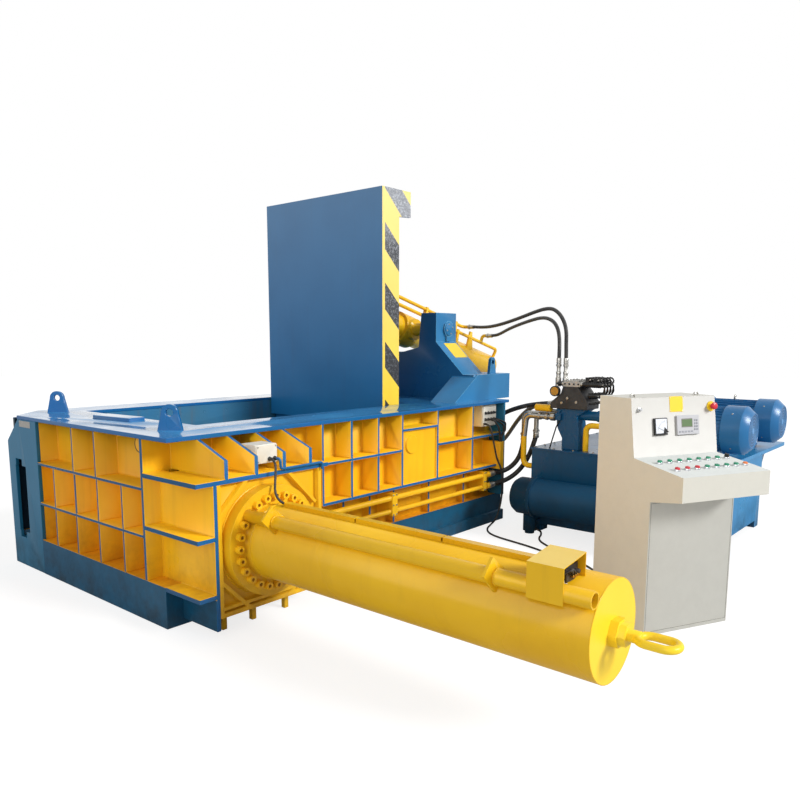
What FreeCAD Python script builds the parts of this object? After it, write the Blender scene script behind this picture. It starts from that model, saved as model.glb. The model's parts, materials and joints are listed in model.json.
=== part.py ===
import FreeCAD, Part
import math
import os
import re

import Sketcher
from FreeCAD import Placement, Rotation, Vector

# A hydraulic scrap-metal baler: a welded press box with a ribbed shell, a swinging lid,
# a main ram along X, a side ram along Y, a sliding discharge gate, a hydraulic power unit
# and a control desk. Millimetres. Every piece is drawn from the near bottom corner of the
# press box (X along the box, Y across it, Z up) and each sub-part's Placement then moves
# that corner so that the origin is the middle of the box's underside.

os.makedirs("parts", exist_ok=True)
doc = FreeCAD.newDocument("recycling_baler")

# ---------------------------------------------------------------- driving sizes
sizes = {
    # press box
    "base_len": 3495, "base_wid": 1998, "base_top": 246, "base_plate": 25,
    "sole_out": 30, "sole_rise": 90,
    "rim_top": 1100, "rim_plate": 25, "rim_over": 77, "rim_len": 3480, "rim_chamfer": 262,
    "open_x0": 475, "open_x1": 2480, "open_y0": 346, "open_y1": 1758,
    "skin": 25, "rib": 20, "rib_depth": 150, "liner": 30, "fit_gap": 1,
    "chamber_x0": 225, "face_x": 2260, "tunnel_top": 803, "rear_x": 3395, "cavity_x1": 2560,
    # near corner: shelves, bulkhead and gussets
    "corner_y": 187, "corner_out": 326, "bulk_x": 107, "bulk_z": 38,
    "shelf_hi": 880, "shelf_mid": 574, "shelf_lo": 250, "shelf": 28, "shelf_len": 965,
    "gusset_x": 186, "gusset_pitch": 207, "gusset_knee": 981,
    # front wall ribs
    "row_hi": 807, "row_lo": 532, "recess_y": 10, "patch_top": 958, "boss_x": 2115,
    "boss_z": 841, "boss_r": 70,
    # end wall ribs
    "end_y1": 1535, "end_row_hi": 794, "end_row_lo": 514, "end_col": 290, "end_col_y": 423,
    "end_top_y0": 723, "end_top_y1": 1011, "knee_y": 1812, "knee_z": 907,
    # side cylinder and its frame
    "cyl_x": 490, "cyl_z": 490, "frame_x1": 905, "frame_z0": 105, "frame_y": 290,
    "frame_plate": 40, "frame_edge": 36, "frame_apothem": 360, "foot": 30,
    "flange_r": 320, "flange_t": 80, "bolt_pcd_r": 263, "bolt_r": 23, "bolt_head": 30,
    "side_r": 215, "side_bore": 170, "side_len": 2405, "side_rod": 110, "gland_gap": 0.05,
    "ram_x0": 235, "ram_x1": 745, "ram_z0": 276, "ram_z1": 790, "side_head": 384,
    "eye_bar": 17, "tube_dx": 186, "tube_dz": 176, "tube_r": 36, "tube_bore": 29, "tube_end": 2407,
    "strap_y0": 600, "strap_y1": 1978, "strap_t": 14,
    "rod_r": 12, "cover_x0": 266, "cover_x1": 452, "cover_y0": 2136, "cover_y1": 2296,
    "cover_lo": 775, "cover_hi": 800, "cover_skirt": 626, "sheet": 4, "duct_y0": 480, "duct_wid": 44,
    # discharge gate
    "gate_y0": 1790, "gate_y1": 1894, "gate_z0": 215, "gate_z1": 780, "gate_step": 47,
    "gate_neck": 44, "gate_mid": 1842, "gate_slack": 5, "slot_y0": 1735, "slot_y1": 1900,
    "guide_y": 1900, "window_top": 770, "outlet_x0": 232, "outlet_x1": 748,
    "guide_x1": 1300, "gate_cyl_y": 1845, "gate_cyl_z": 500, "gate_cyl_r": 50, "gate_bore": 40,
    "gate_cyl_len": 700, "gate_reach": 575, "gate_head": 40, "gate_rod": 25,
    # main ram
    "main_z": 538, "main_top": 800, "main_head": 438, "main_r": 200, "main_bore": 160,
    "main_rod": 110, "main_x0": 2860, "main_x1": 4680, "main_flange": 265,
    # lid and its cylinder
    "lid_y0": 361, "lid_y1": 1743, "lid_t": 205, "lid_top": 2812, "lid_plate": 30,
    "hinge_x": 2400, "hinge_z": 950, "pin_r": 50, "knuckle_r": 95,
    "lug_x": 2620, "lug_z": 1908, "lug_gap": 43, "lug_t": 30, "lug_r": 75,
    "trun_x": 3325, "trun_z": 1726, "trun_r": 60, "lid_cyl_r": 125, "lid_bore": 100,
    "lid_fore": 430, "lid_aft": 1560, "lid_rod": 60, "collar_r": 155, "hub_r": 98,
    # towers that carry the lid cylinder
    "tower_y": 60, "tower_x0": 3150, "tower_x1": 3455, "tower_end": 3700, "deck_z": 1325,
    "wedge_x": 2840, "wedge_y": 317, "head_y0": 500, "head_y1": 670, "head_z0": 1610,
    "head_z1": 1870, "slope_y": 200, "saddle_y": 900, "saddle_z": 1515, "tplate": 25,
    # pressure pipes on the front wall
    "pipe_y": 60, "pipe_hi": 460, "pipe_lo": 360, "pipe_r": 21, "pipe_x1": 3150,
    # lifting lugs
    "lug_w": 150, "lug_h": 158, "lug_hole": 22, "lug_plate": 30, "tower_lug": 100,
    # junction boxes
    "jb_x": 425, "jb_y": 290, "jb_z": 926, "jb_len": 155, "jb_dep": 130, "jb_high": 109,
    "jc_x": 3130, "jc_y": 20, "jc_z": 880, "jc_len": 210, "jc_high": 190, "gland_r": 10,
    # power unit
    "tank_x0": 3340, "tank_x1": 4760, "tank_y0": 1872, "tank_y1": 400, "tank_z0": 60,
    "tank_z1": 700, "tank_wall": 8, "tank_lid": 16,
    "ves_x": 3178, "ves_z": 325, "ves_r": 155, "ves_y1": 1650,
    "stand_x": 3390, "stand_y": 715, "stand_w": 150, "motor_x": 3600, "motor_pitch": 850, "motor_z": 965,
    "motor_r": 180, "motor_end": 2080,
    # control desk
    "desk_x": 1670, "desk_y": 2076, "desk_w": 610, "desk_dep": 448, "desk_top": 1307,
    "desk_under": 760, "desk_out": 225, "desk_lip": 799, "desk_front": 931,
    "desk_back": 980, "desk_in": 142, "panel_in": 187, "con_t": 5,
    "button_x0": 67, "button_pitch": 69, "button_r": 13, "bezel_r": 17, "bezel_t": 10,
    "row_back": 245, "row_front": 115, "button_out": 9,
}
DESK_TURN = -26.5

sheet = doc.addObject("Spreadsheet::Sheet", "Sizes")
for row, (alias, number) in enumerate(sizes.items(), 1):
    sheet.set(f"A{row}", alias)
    sheet.set(f"B{row}", str(number))
    sheet.setAlias(f"B{row}", alias)
doc.recompute()

WORD = re.compile(r"[a-z][a-z_0-9]*")


def bound(text):
    """The expression text, with each size's name pointing at its cell."""
    text = str(text)
    return WORD.sub(lambda w: f"Sizes.{w.group(0)}" if w.group(0) in sizes else w.group(0), text)


def value(text):
    """The number an expression gives, read from the sheet."""
    return float(sheet.evalExpression(str(text)))


def at(x, y, z):
    return Vector(value(x), value(y), value(z))


serial = iter(range(1, 100000))
AXES = {"x": (("y", "z"), "YZ_Plane", Rotation(Vector(0, 1, 0), 90)),
        "y": (("x", "z"), "XZ_Plane", Rotation(Vector(1, 0, 0), -90)),
        "z": (("x", "y"), "XY_Plane", Rotation())}


def block(x, y, z):
    """A rectangular plate or bar between two bounds along each axis."""
    made = doc.addObject("Part::Box", f"Block{next(serial)}")
    for side, axis, (low, high) in zip(("Length", "Width", "Height"), "xyz", (x, y, z)):
        made.setExpression(side, bound(f"({high}) - ({low})"))
        made.setExpression(f"Placement.Base.{axis}", bound(low))
    return made


def bar(axis, centre, radius, span):
    """A round bar along an axis; centre gives its other two coordinates."""
    made = doc.addObject("Part::Cylinder", f"Bar{next(serial)}")
    others, _, turn = AXES[axis]
    made.Placement = Placement(Vector(), turn)
    made.setExpression("Radius", bound(radius))
    made.setExpression("Height", bound(f"({span[1]}) - ({span[0]})"))
    made.setExpression(f"Placement.Base.{axis}", bound(span[0]))
    for name, place in zip(others, centre):
        made.setExpression(f"Placement.Base.{name}", bound(place))
    return made


def hexagon(axis, centre, radius, span):
    """A hexagon nut or bolt head along an axis; radius is over its corners."""
    made = doc.addObject("Part::Prism", f"Hex{next(serial)}")
    others, _, turn = AXES[axis]
    made.Polygon = 6
    made.Placement = Placement(Vector(), turn)
    made.setExpression("Circumradius", bound(radius))
    made.setExpression("Height", bound(f"({span[1]}) - ({span[0]})"))
    made.setExpression(f"Placement.Base.{axis}", bound(span[0]))
    for name, place in zip(others, centre):
        made.setExpression(f"Placement.Base.{name}", bound(place))
    return made


def outline(body, plane, points):
    """A closed polygon sketch whose every corner is dimensioned from the body's origin."""
    sketch = body.newObject("Sketcher::SketchObject", f"Outline{next(serial)}")
    support = [f for f in body.Origin.OriginFeatures if f.Role == plane][0]
    sketch.AttachmentSupport = [(support, "")]
    sketch.MapMode = "FlatFace"
    corners = [Vector(value(u), value(v), 0) for u, v in points]
    count = len(corners)
    for i in range(count):
        sketch.addGeometry(Part.LineSegment(corners[i], corners[(i + 1) % count]), False)
    for i in range(count):
        sketch.addConstraint(Sketcher.Constraint("Coincident", i, 2, (i + 1) % count, 1))
    for i, (u, v) in enumerate(points):
        for kind, text, number in (("DistanceX", u, corners[i].x), ("DistanceY", v, corners[i].y)):
            k = sketch.addConstraint(Sketcher.Constraint(kind, -1, 1, i, 1, number))
            sketch.setExpression(f"Constraints[{k}]", bound(text))
    return sketch


def profile(axis, points, span):
    """A plate cut to a polygon and set across an axis, between two bounds."""
    body = doc.addObject("PartDesign::Body", f"Plate{next(serial)}")
    sketch = outline(body, AXES[axis][1], points)
    pad = body.newObject("PartDesign::Pad", f"Pad{next(serial)}")
    pad.Profile = sketch
    pad.setExpression("Length", bound(f"({span[1]}) - ({span[0]})"))
    pad.Reversed = axis == "y"
    body.setExpression(f"Placement.Base.{axis}", bound(span[0]))
    body.Tip = pad
    return body


def turned(points, centre, towards):
    """A turned piece: a half section of (radius, distance) spun about its axis."""
    body = doc.addObject("PartDesign::Body", f"Turned{next(serial)}")
    sketch = outline(body, "XZ_Plane", points)
    spin = body.newObject("PartDesign::Revolution", f"Spin{next(serial)}")
    spin.Profile = sketch
    spin.ReferenceAxis = (sketch, ["V_Axis"])
    spin.Angle = 360
    body.Tip = spin
    body.Placement = Placement(Vector(), Rotation(Vector(0, 0, 1), Vector(*towards)))
    for name, place in zip("xyz", centre):
        body.setExpression(f"Placement.Base.{name}", bound(place))
    return body


def weld(*pieces):
    pieces = list(pieces)
    if len(pieces) == 1:
        return pieces[0]
    made = doc.addObject("Part::MultiFuse", f"Weld{next(serial)}")
    made.Shapes = pieces
    made.Refine = True
    return made


def cut(piece, *tools):
    made = doc.addObject("Part::Cut", f"Cut{next(serial)}")
    made.Base = piece
    made.Tool = weld(*tools)
    made.Refine = True
    return made


nodes = []


def node(label, *pieces, place=None, turn=None):
    """A sub-part of one or more separate solids, moved from the corner to the origin."""
    made = doc.addObject("Part::Compound", label)
    made.Links = list(pieces)
    made.Label = label
    made.Placement = Placement(Vector(), turn or Rotation())
    x, y, z = place or (0, 0, 0)
    made.setExpression("Placement.Base.x", bound(f"({x}) - base_len / 2"))
    made.setExpression("Placement.Base.y", bound(f"({y}) - base_wid / 2"))
    made.setExpression("Placement.Base.z", bound(f"{z} + 0"))
    nodes.append(made)
    return made


def route(points, radius, bends=None):
    """A tube's path: straight runs joined by tangent arcs, and its round solid."""
    spots, radius = [Vector(*p) for p in points], value(radius)
    edges, radii = [], []
    start = spots[0]
    for i in range(1, len(spots) - 1):
        before, after = spots[i - 1] - spots[i], spots[i + 1] - spots[i]
        runs = min(before.Length, after.Length)
        before.normalize()
        after.normalize()
        turn = math.pi - before.getAngle(after)
        arc = bends or 0.45 * runs / math.tan(turn / 2)
        back = arc * math.tan(turn / 2)
        first, last = spots[i] + before * back, spots[i] + after * back
        middle = before + after
        middle.normalize()
        centre = spots[i] + middle * (arc / math.cos(turn / 2))
        edges.append(Part.LineSegment(start, first).toShape())
        edges.append(Part.Arc(first, centre - middle * arc, last).toShape())
        radii.append(arc)
        start = last
    edges.append(Part.LineSegment(start, spots[-1]).toShape())
    path = Part.Wire(edges)
    direction = spots[1] - spots[0]
    ring = Part.Wire([Part.Circle(spots[0], direction, radius).toShape()])
    tube = path.makePipeShell([ring], True, False)
    length = sum(e.Length for e in edges)
    off = abs(tube.Volume / (math.pi * radius ** 2 * length) - 1)
    print(f"  tube {length:.0f} long, {2 * radius:.0f} thick, volume off {off:.5f}, radii",
          " ".join(f"{r:.0f}" for r in radii))
    return tube


def hose(label, *tubes):
    """Free cords: each tube from its chosen points, in corner coordinates."""
    print(label)
    shapes = [route([(value(x), value(y), value(z)) for x, y, z in points], radius)
              for points, radius in tubes]
    made = doc.addObject("Part::Feature", label)
    made.Shape = shapes[0] if len(shapes) == 1 else Part.makeCompound(shapes)
    made.Label = label
    made.Placement = Placement(at("-base_len / 2", "-base_wid / 2", 0), Rotation())
    nodes.append(made)
    return made


def pipe(points, radius, bend):
    """A bent rigid pipe with one bend radius."""
    made = doc.addObject("Part::Feature", f"Pipe{next(serial)}")
    made.Shape = route([(value(x), value(y), value(z)) for x, y, z in points], radius, bend)
    return made


# names for places that several pieces share
RIM_LOW = "rim_top - rim_plate"
FRONT = "-rim_over"
WALL = "rib_depth - rim_over"
FAR = "base_wid + rim_over"
MID = "(open_y0 + open_y1) / 2"
UP = ("base_top", RIM_LOW)
INSIDE = ("open_y0", "open_y1")
NEAR_IN, FAR_IN = "open_y0 - liner", "open_y1 + liner"
RIBS_X = (1154, 1432, 1709, 1979, 2416, 2902)
RIM = ("rim_top - rim_plate", "rim_top")


def placed(piece, place=(0, 0, 0), axis=(0, 0, 1), angle=0):
    """A piece turned about an axis and moved."""
    made = doc.addObject("Part::Compound", f"Set{next(serial)}")
    made.Links = [piece]
    made.Placement = Placement(Vector(), Rotation(Vector(*axis), angle))
    for name, spot in zip("xyz", place):
        made.setExpression(f"Placement.Base.{name}", bound(f"{spot} + 0"))
    return made


def lug(place, angle, width="lug_w", height="lug_h"):
    """A lifting lug: a tapered plate with a round top and a hole."""
    half, top = f"{width} / 2", f"({height}) - {width} / 3"
    plate = profile("y", [(f"-{half}", 0), (half, 0), (f"{width} / 3", top),
                          (f"-{width} / 3", top)], ("-lug_plate / 2", "lug_plate / 2"))
    crown = bar("y", (0, top), f"{width} / 3", ("-lug_plate / 2", "lug_plate / 2"))
    hole = bar("y", (0, f"({height}) * 0.69"), "lug_hole", ("-lug_plate", "lug_plate"))
    return placed(cut(weld(plate, crown), hole), place, angle=angle)


# ---------------------------------------------------------------- base
shell = block((0, "base_len"), (0, "base_wid"), (0, "base_top"))
hollows = [block((low, "base_len - base_plate"), (y0, y1), ("base_plate", "base_top - base_plate"))
           for low, y0, y1 in (("base_plate", "base_plate", "base_wid / 3 - 10"),
                               ("base_plate", "base_wid / 3 + 10", "base_wid * 2 / 3 - 10"),
                               ("guide_x1 + 60", "base_wid * 2 / 3 + 10", "base_wid - base_plate"))]
hand_holes = [bar("x", (f"base_wid * {k} / 6", "base_top / 2"), "base_top / 4",
                  ("base_len - base_plate * 2", "base_len + 10")) for k in (1, 3, 5)]
front_notch = block((-1, "base_plate"), ("end_y1", "base_wid + 1"), (-1, "base_top + 1"))
trough = block((-1, "guide_x1 - 500"), ("gate_y0 - 2", "guide_y + 5"),
               ("gate_z0 - gate_slack", "base_top + 1"))
sole = block((950, "base_len"), ("-sole_out", 0), (0, "sole_rise"))
rear = cut(block(("rear_x", "rear_x + skin"), (FRONT, FAR), UP),
           bar("x", (MID, "main_z"), "main_r + 0.3", ("rear_x - 1", "rear_x + skin + 1")))
node("base_frame", cut(weld(shell, sole), *hollows, *hand_holes, front_notch, trough))

# ---------------------------------------------------------------- front wall and near corner
panel = profile("y", [("bulk_x + skin", "base_top"), ("rear_x", "base_top"), ("rear_x", RIM_LOW),
                      ("gusset_x + skin", RIM_LOW), ("gusset_x + skin", "shelf_hi"),
                      ("bulk_x + skin", "shelf_hi")], (WALL, f"{WALL} + skin"))
ribs = [block((x, f"{x} + rib"), (FRONT, WALL), ("row_lo", RIM_LOW)) for x in RIBS_X]
low_ribs = [block((x, f"{x} + rib"), ("recess_y", WALL), ("base_top", "row_lo")) for x in RIBS_X]
rows = [block((x0, x1), (FRONT, WALL), (f"{z} - rib / 2", f"{z} + rib / 2"))
        for x0, x1, z in ((RIBS_X[0], RIBS_X[3], "row_hi"), (RIBS_X[4], "rear_x", "row_hi"),
                          (RIBS_X[3], RIBS_X[4], "patch_top"), (RIBS_X[0], "rear_x", "row_lo"))]
patch = block((RIBS_X[3], RIBS_X[4]), ("20 - rim_over", "40 - rim_over"), ("row_lo", "patch_top"))
boss = bar("y", ("boss_x", "boss_z"), "boss_r", ("8 - rim_over", "22 - rim_over"))
window = block(("ram_x0 - fit_gap", "ram_x1 + fit_gap"), (0, 200),
               ("base_top + skin", "ram_z1 + 6"))
shelves = [block((0, x1), ("-corner_out", y1), (f"{top} - shelf", top)) for x1, y1, top in (
    ("shelf_len", WALL, "shelf_hi"), ("bulk_x + skin", "corner_y", "shelf_hi"),
    ("bulk_x", "corner_y", "shelf_mid"), ("bulk_x", 0, "shelf_lo"))]
corner = profile("y", [(0, "base_top"), ("rib_depth + skin", "base_top"),
                       ("rib_depth + skin", "shelf_hi"),
                       ("gusset_x + skin", "shelf_hi"), ("gusset_x + skin", RIM_LOW),
                       (0, RIM_LOW)], ("corner_y", "corner_y + skin"))
bulkhead = profile("x", [("-corner_out", "bulk_z"), (0, "bulk_z"), (0, "base_top"), ("corner_y", "base_top"),
                         ("corner_y", "shelf_hi - shelf"), ("-corner_out", "shelf_hi - shelf")],
                   ("bulk_x", "bulk_x + skin"))


def gusset(step, back):
    low = f"gusset_x + gusset_pitch * {step}"
    return profile("x", [("-corner_out", "shelf_hi"), ("-corner_out", "gusset_knee"),
                         (FRONT, RIM_LOW), (back, RIM_LOW), (back, "shelf_hi")],
                   (low, f"{low} + skin"))


gussets = [gusset(0, "corner_y")] + [gusset(i, WALL) for i in (1, 2, 3)]
trunk = block((3290, 3345), (-114, WALL), (496, 740))
node("near_wall", cut(weld(panel, *ribs, *low_ribs, *rows, patch, boss, *shelves, corner,
                           bulkhead, *gussets, trunk), window))

# ---------------------------------------------------------------- end wall, blue end plate
end_panel = block(("rib_depth", "rib_depth + skin"), ("corner_y + skin", "end_y1 + skin"), UP)
uprights = [block((0, "rib_depth"), (y, f"{y} + rib"), ("end_row_hi", RIM_LOW))
            for y in ("end_top_y0", "end_top_y1")]
uprights += [block((0, "rib_depth"), (f"end_col_y + end_col * {i}", f"end_col_y + end_col * {i} + rib"),
                   ("base_top", "end_row_hi")) for i in range(4)]
levels = [block((0, "rib_depth"), ("corner_y + skin", "end_y1"), (f"{z} - rib", z))
          for z in ("end_row_hi", "end_row_lo")]
border = block(("skin", "rib_depth"), ("end_y1", "end_y1 + skin"), UP)
node("end_wall", weld(end_panel, *uprights, *levels, border))

# ---------------------------------------------------------------- discharge gate
def stepped(y0, y1, low, high, slack):
    """A section with a narrower neck above and below: the gate's, and its slot's."""
    n0, n1 = f"gate_mid - gate_neck - {slack}", f"gate_mid + gate_neck + {slack}"
    z0, z1 = f"{low} - {slack}", f"{low} + gate_step - {slack}"
    z2, z3 = f"{high} - gate_step + {slack}", f"{high} + {slack}"
    return [(n0, z0), (n1, z0), (n1, z1), (y1, z1), (y1, z2), (n1, z2), (n1, z3), (n0, z3),
            (n0, z2), (y0, z2), (y0, z1), (n0, z1)]


slot = profile("x", stepped("slot_y0", "slot_y1", "gate_z0", "gate_z1", "gate_slack"),
               (-10, "skin + 10"))
end_plate = profile("x", [("end_y1", 0), ("base_wid", 0), ("base_wid + 7", "knee_z"),
                          ("knee_y", RIM_LOW), ("end_y1", RIM_LOW)], (0, "skin"))
gate = profile("x", stepped("gate_y0", "gate_y1", "gate_z0", "gate_z1", 0),
               ("ram_x0", "ram_x1 + 10"))
gate_rod = bar("x", ("gate_cyl_y", "gate_cyl_z"), "gate_rod", ("ram_x1 + 10", "guide_x1 + gate_reach"))
gate_piston = bar("x", ("gate_cyl_y", "gate_cyl_z"), "gate_bore - gland_gap",
                  ("guide_x1 + gate_reach", "guide_x1 + gate_reach + gate_head"))
node("discharge_gate", weld(gate, gate_rod, gate_piston))
gate_tube = bar("x", ("gate_cyl_y", "gate_cyl_z"), "gate_cyl_r",
                ("guide_x1", "guide_x1 + gate_cyl_len"))
gate_hole = bar("x", ("gate_cyl_y", "gate_cyl_z"), "gate_bore",
                ("guide_x1 + 30", "guide_x1 + gate_cyl_len - 20"))
gate_gland = bar("x", ("gate_cyl_y", "gate_cyl_z"), "gate_rod + gland_gap",
                 ("guide_x1 - 10", "guide_x1 + 40"))
gate_feet = [block((f"guide_x1 + {x}", f"guide_x1 + {x} + 30"),
                   ("gate_cyl_y - 56", "gate_cyl_y + 56"), ("base_top", "gate_cyl_z"))
             for x in (60, 540)]
node("gate_cylinder", cut(weld(gate_tube, *gate_feet), gate_hole, gate_gland))

# ---------------------------------------------------------------- far wall
FAR_SKIN = ("base_wid - 73", "base_wid - 48")
far_panel = block(("skin", "rear_x"), FAR_SKIN, UP)
outlet = block(("outlet_x0", "outlet_x1"), (1700, 2100), ("base_top - 1", "window_top"))
far_ribs = [block((x, f"{x} + rib"), ("base_wid - 48", "base_wid"), UP)
            for x in ("outlet_x0 - rib", "outlet_x1", *RIBS_X)]
far_rows = [block(("outlet_x1", "rear_x"), ("base_wid - 48", "base_wid"),
                  (f"{z} - rib / 2", f"{z} + rib / 2")) for z in ("row_hi", "row_lo")]
far_over = block(("rim_chamfer", "rear_x"), ("base_wid", FAR), (f"{RIM_LOW} - 60", RIM_LOW))
lintel = block(("skin", "outlet_x1"), ("base_wid - 48", "base_wid"), ("window_top", "window_top + rib"))
hanger = block(("skin", "guide_x1 - 500"), (FAR_IN, "base_wid - 73"), ("gate_z1 + 6", "gate_z1 + 26"))
node("far_wall", cut(weld(far_panel, *far_ribs, *far_rows, far_over, lintel, hanger), outlet))
node("end_plates", cut(end_plate, slot), rear)

# ---------------------------------------------------------------- chamber and tunnels
PIN_HOLE = bar("y", ("hinge_x", "hinge_z"), "pin_r", ("open_y0 - 100", "open_y1 + 100"))
floor = block(("chamber_x0", "rear_x"), INSIDE, ("base_top", "base_top + skin"))
near_liner = cut(block(("chamber_x0", "rear_x"), (NEAR_IN, "open_y0"), UP),
                 block(("ram_x0 - fit_gap", "ram_x1 + fit_gap"), (0, 500),
                       ("base_top + skin", "ram_z1 + 6")))
far_liner = cut(block(("chamber_x0", "rear_x"), ("open_y1", FAR_IN), UP),
                block(("outlet_x0", "outlet_x1"), (1700, 1900), ("base_top + skin", "window_top")))
end_liner = block(("chamber_x0 - liner", "chamber_x0"), (NEAR_IN, FAR_IN), UP)
bridge = [block(("chamber_x0", "open_x0"), INSIDE, (815, 840)),
          block(("open_x0 - skin", "open_x0"), INSIDE, (840, RIM_LOW))]
roof = [block(("cavity_x1", "rear_x"), INSIDE, ("tunnel_top", "tunnel_top + skin")),
        block(("cavity_x1", "cavity_x1 + skin"), INSIDE, ("tunnel_top + skin", RIM_LOW))]
SIDE_TUNNEL = (f"{WALL} + skin", NEAR_IN)
tunnel = [block(("ram_x0 - fit_gap - 12", "ram_x0 - fit_gap"), SIDE_TUNNEL, ("base_top", "ram_z1 + 31")),
          block(("ram_x1 + fit_gap", "ram_x1 + fit_gap + skin"), SIDE_TUNNEL,
                ("base_top", "ram_z1 + 31")),
          block(("ram_x0 - fit_gap", "ram_x1 + fit_gap"), SIDE_TUNNEL,
                ("base_top", "base_top + skin")),
          block(("ram_x0 - fit_gap", "ram_x1 + fit_gap"), SIDE_TUNNEL,
                ("ram_z1 + 6", "ram_z1 + 31"))]
stays = [block((x, f"{x} + rib"), SIDE_TUNNEL, UP) for x in RIBS_X]
stays += [block((x, f"{x} + rib"), (FAR_IN, "base_wid - 73"), UP) for x in (2100, 2600, 3100)]
node("chamber_liner", cut(weld(floor, near_liner, far_liner, end_liner, *bridge, *roof,
                               *tunnel, *stays), PIN_HOLE))
node("hinge_pin", bar("y", ("hinge_x", "hinge_z"), "pin_r", ("open_y0 - liner", "open_y1 + liner")))

# ---------------------------------------------------------------- rim
rim = profile("z", [(-5, FRONT), ("rim_len", FRONT), ("rim_len", FAR), ("rim_chamfer - 5", FAR),
                    (-5, "knee_y")], RIM)
mouth = block(("open_x0", "open_x1"), INSIDE, (f"{RIM_LOW} - 1", "rim_top + 1"))
hatch = placed(block((-60, 60), (-200, 200), (0, 25)), (325, 1010, "rim_top"), angle=6)
node("rim_plate", weld(cut(rim, mouth), lug((281, 1784, "rim_top"), -49),
                       lug((205, 206, "rim_top"), -49), hatch))

# ---------------------------------------------------------------- side cylinder's frame
FRAME_BACK, FRAME_FRONT = "-frame_y", "-frame_y - frame_edge"
frame_face = block(("bulk_x + skin", "frame_x1"), (FRAME_BACK, "frame_plate - frame_y"),
                   ("frame_z0", "shelf_hi - shelf"))
frame_hole = bar("y", ("cyl_x", "cyl_z"), "side_rod + 40", (-400, -200))
sensor_hole = bar("y", ("cyl_x - tube_dx", "cyl_z + tube_dz"), "tube_bore", (-420, -200))
cheeks = [profile("x", [("frame_plate - frame_y", "frame_z0"), (0, "frame_z0"), (0, "base_top"),
                        (WALL, "base_top"), (WALL, "shelf_hi - shelf"),
                        ("frame_plate - frame_y", "shelf_hi - shelf")], span)
          for span in (("bulk_x + skin", "bulk_x + skin * 2"), ("frame_x1 - skin", "frame_x1"))]
pan = block(("bulk_x + skin * 2", "frame_x1 - skin"), ("frame_plate - frame_y", 0),
            ("frame_z0", "frame_z0 + skin"))
bars = [block(("bulk_x + skin", "bulk_x + skin * 2"), (FRAME_FRONT, FRAME_BACK),
              ("frame_z0", "shelf_hi - shelf")),
        block(("frame_x1 - skin", "frame_x1"), (FRAME_FRONT, FRAME_BACK),
              ("frame_z0", "shelf_hi - shelf")),
        block(("bulk_x + skin", "frame_x1"), (FRAME_FRONT, FRAME_BACK),
              ("frame_z0", "frame_z0 + skin")),
        block(("bulk_x + skin * 2", "frame_x1 - skin"), (FRAME_FRONT, FRAME_BACK),
              ("frame_z0 + 41", "frame_z0 + 59"))]
for turn in (45, 135, 225, 315):
    strip = block((-150, 150), (FRAME_FRONT, FRAME_BACK), ("frame_apothem", "frame_apothem + rib"))
    bars.append(placed(strip, ("cyl_x", 0, "cyl_z"), (0, 1, 0), turn))
feet = [block((x, f"{x} + foot"), ("45 - frame_y", "45 - frame_y + foot"), (0, "frame_z0"))
        for x in (200, 410, 660)]
frame_box = block(("bulk_x + skin", "frame_x1"), (FRAME_FRONT, 200), ("frame_z0", "shelf_hi - shelf"))
trimmed = doc.addObject("Part::MultiCommon", "FrameBars")
trimmed.Shapes = [weld(*bars), frame_box]
node("cylinder_frame", cut(weld(frame_face, *cheeks, pan, trimmed, *feet), frame_hole, sensor_hole))

# ---------------------------------------------------------------- side cylinder
GLAND = "side_rod + gland_gap"
END = "side_len - frame_y"
barrel = turned([(GLAND, 0), ("flange_r", 0), ("flange_r", "flange_t"),
                 ("side_r + 2", "flange_t"), ("side_r + 2", "flange_t + 40"),
                 ("side_r", "flange_t + 42"), ("side_r", END),
                 (0, END), (0, f"{END} - 60"), ("side_bore", f"{END} - 60"),
                 ("side_bore", 90), (GLAND, 90)], ("cyl_x", FRAME_BACK, "cyl_z"), (0, -1, 0))
tube_cut = bar("y", ("cyl_x - tube_dx", "cyl_z + tube_dz"), "tube_bore", (-420, -200))
node("side_barrel", cut(barrel, tube_cut))
FACE = "-frame_y - flange_t"
heads = []
for step in range(24):
    if step != 9:
        spot = (f"cyl_x + bolt_pcd_r * cos({15 * step} deg)",
                f"cyl_z + bolt_pcd_r * sin({15 * step} deg)")
        heads.append(cut(bar("y", spot, "bolt_r", (f"{FACE} - bolt_head", FACE)),
                         hexagon("y", spot, "bolt_r / 2", (f"{FACE} - bolt_head - 1",
                                                          f"{FACE} - bolt_head / 2"))))
node("flange_bolts", *heads)
ram = block(("ram_x0", "ram_x1"), ("-40", "side_head - 40"), ("ram_z0", "ram_z1"))
ram_core = block(("ram_x0 + 40", "ram_x1 - 40"), ("-41", "side_head - 90"),
                 ("ram_z0 + 40", "ram_z1 - 40"))
ram_rod = bar("y", ("cyl_x", "cyl_z"), "side_rod", ("70 - side_len + 60", "side_head - 90"))
ram_piston = bar("y", ("cyl_x", "cyl_z"), "side_bore - gland_gap", ("70 - side_len", "170 - side_len"))
probe = bar("y", ("cyl_x - tube_dx", "cyl_z + tube_dz"), "rod_r", ("40 - tube_end", -20))
probe_arm = block(("ram_x0 + 30", "cyl_x - tube_dx + 20"), (-40, -20),
                  ("cyl_z + tube_dz - 20", "cyl_z + tube_dz + 20"))
node("side_ram", weld(cut(ram, ram_core), ram_rod, ram_piston, probe, probe_arm))

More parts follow.
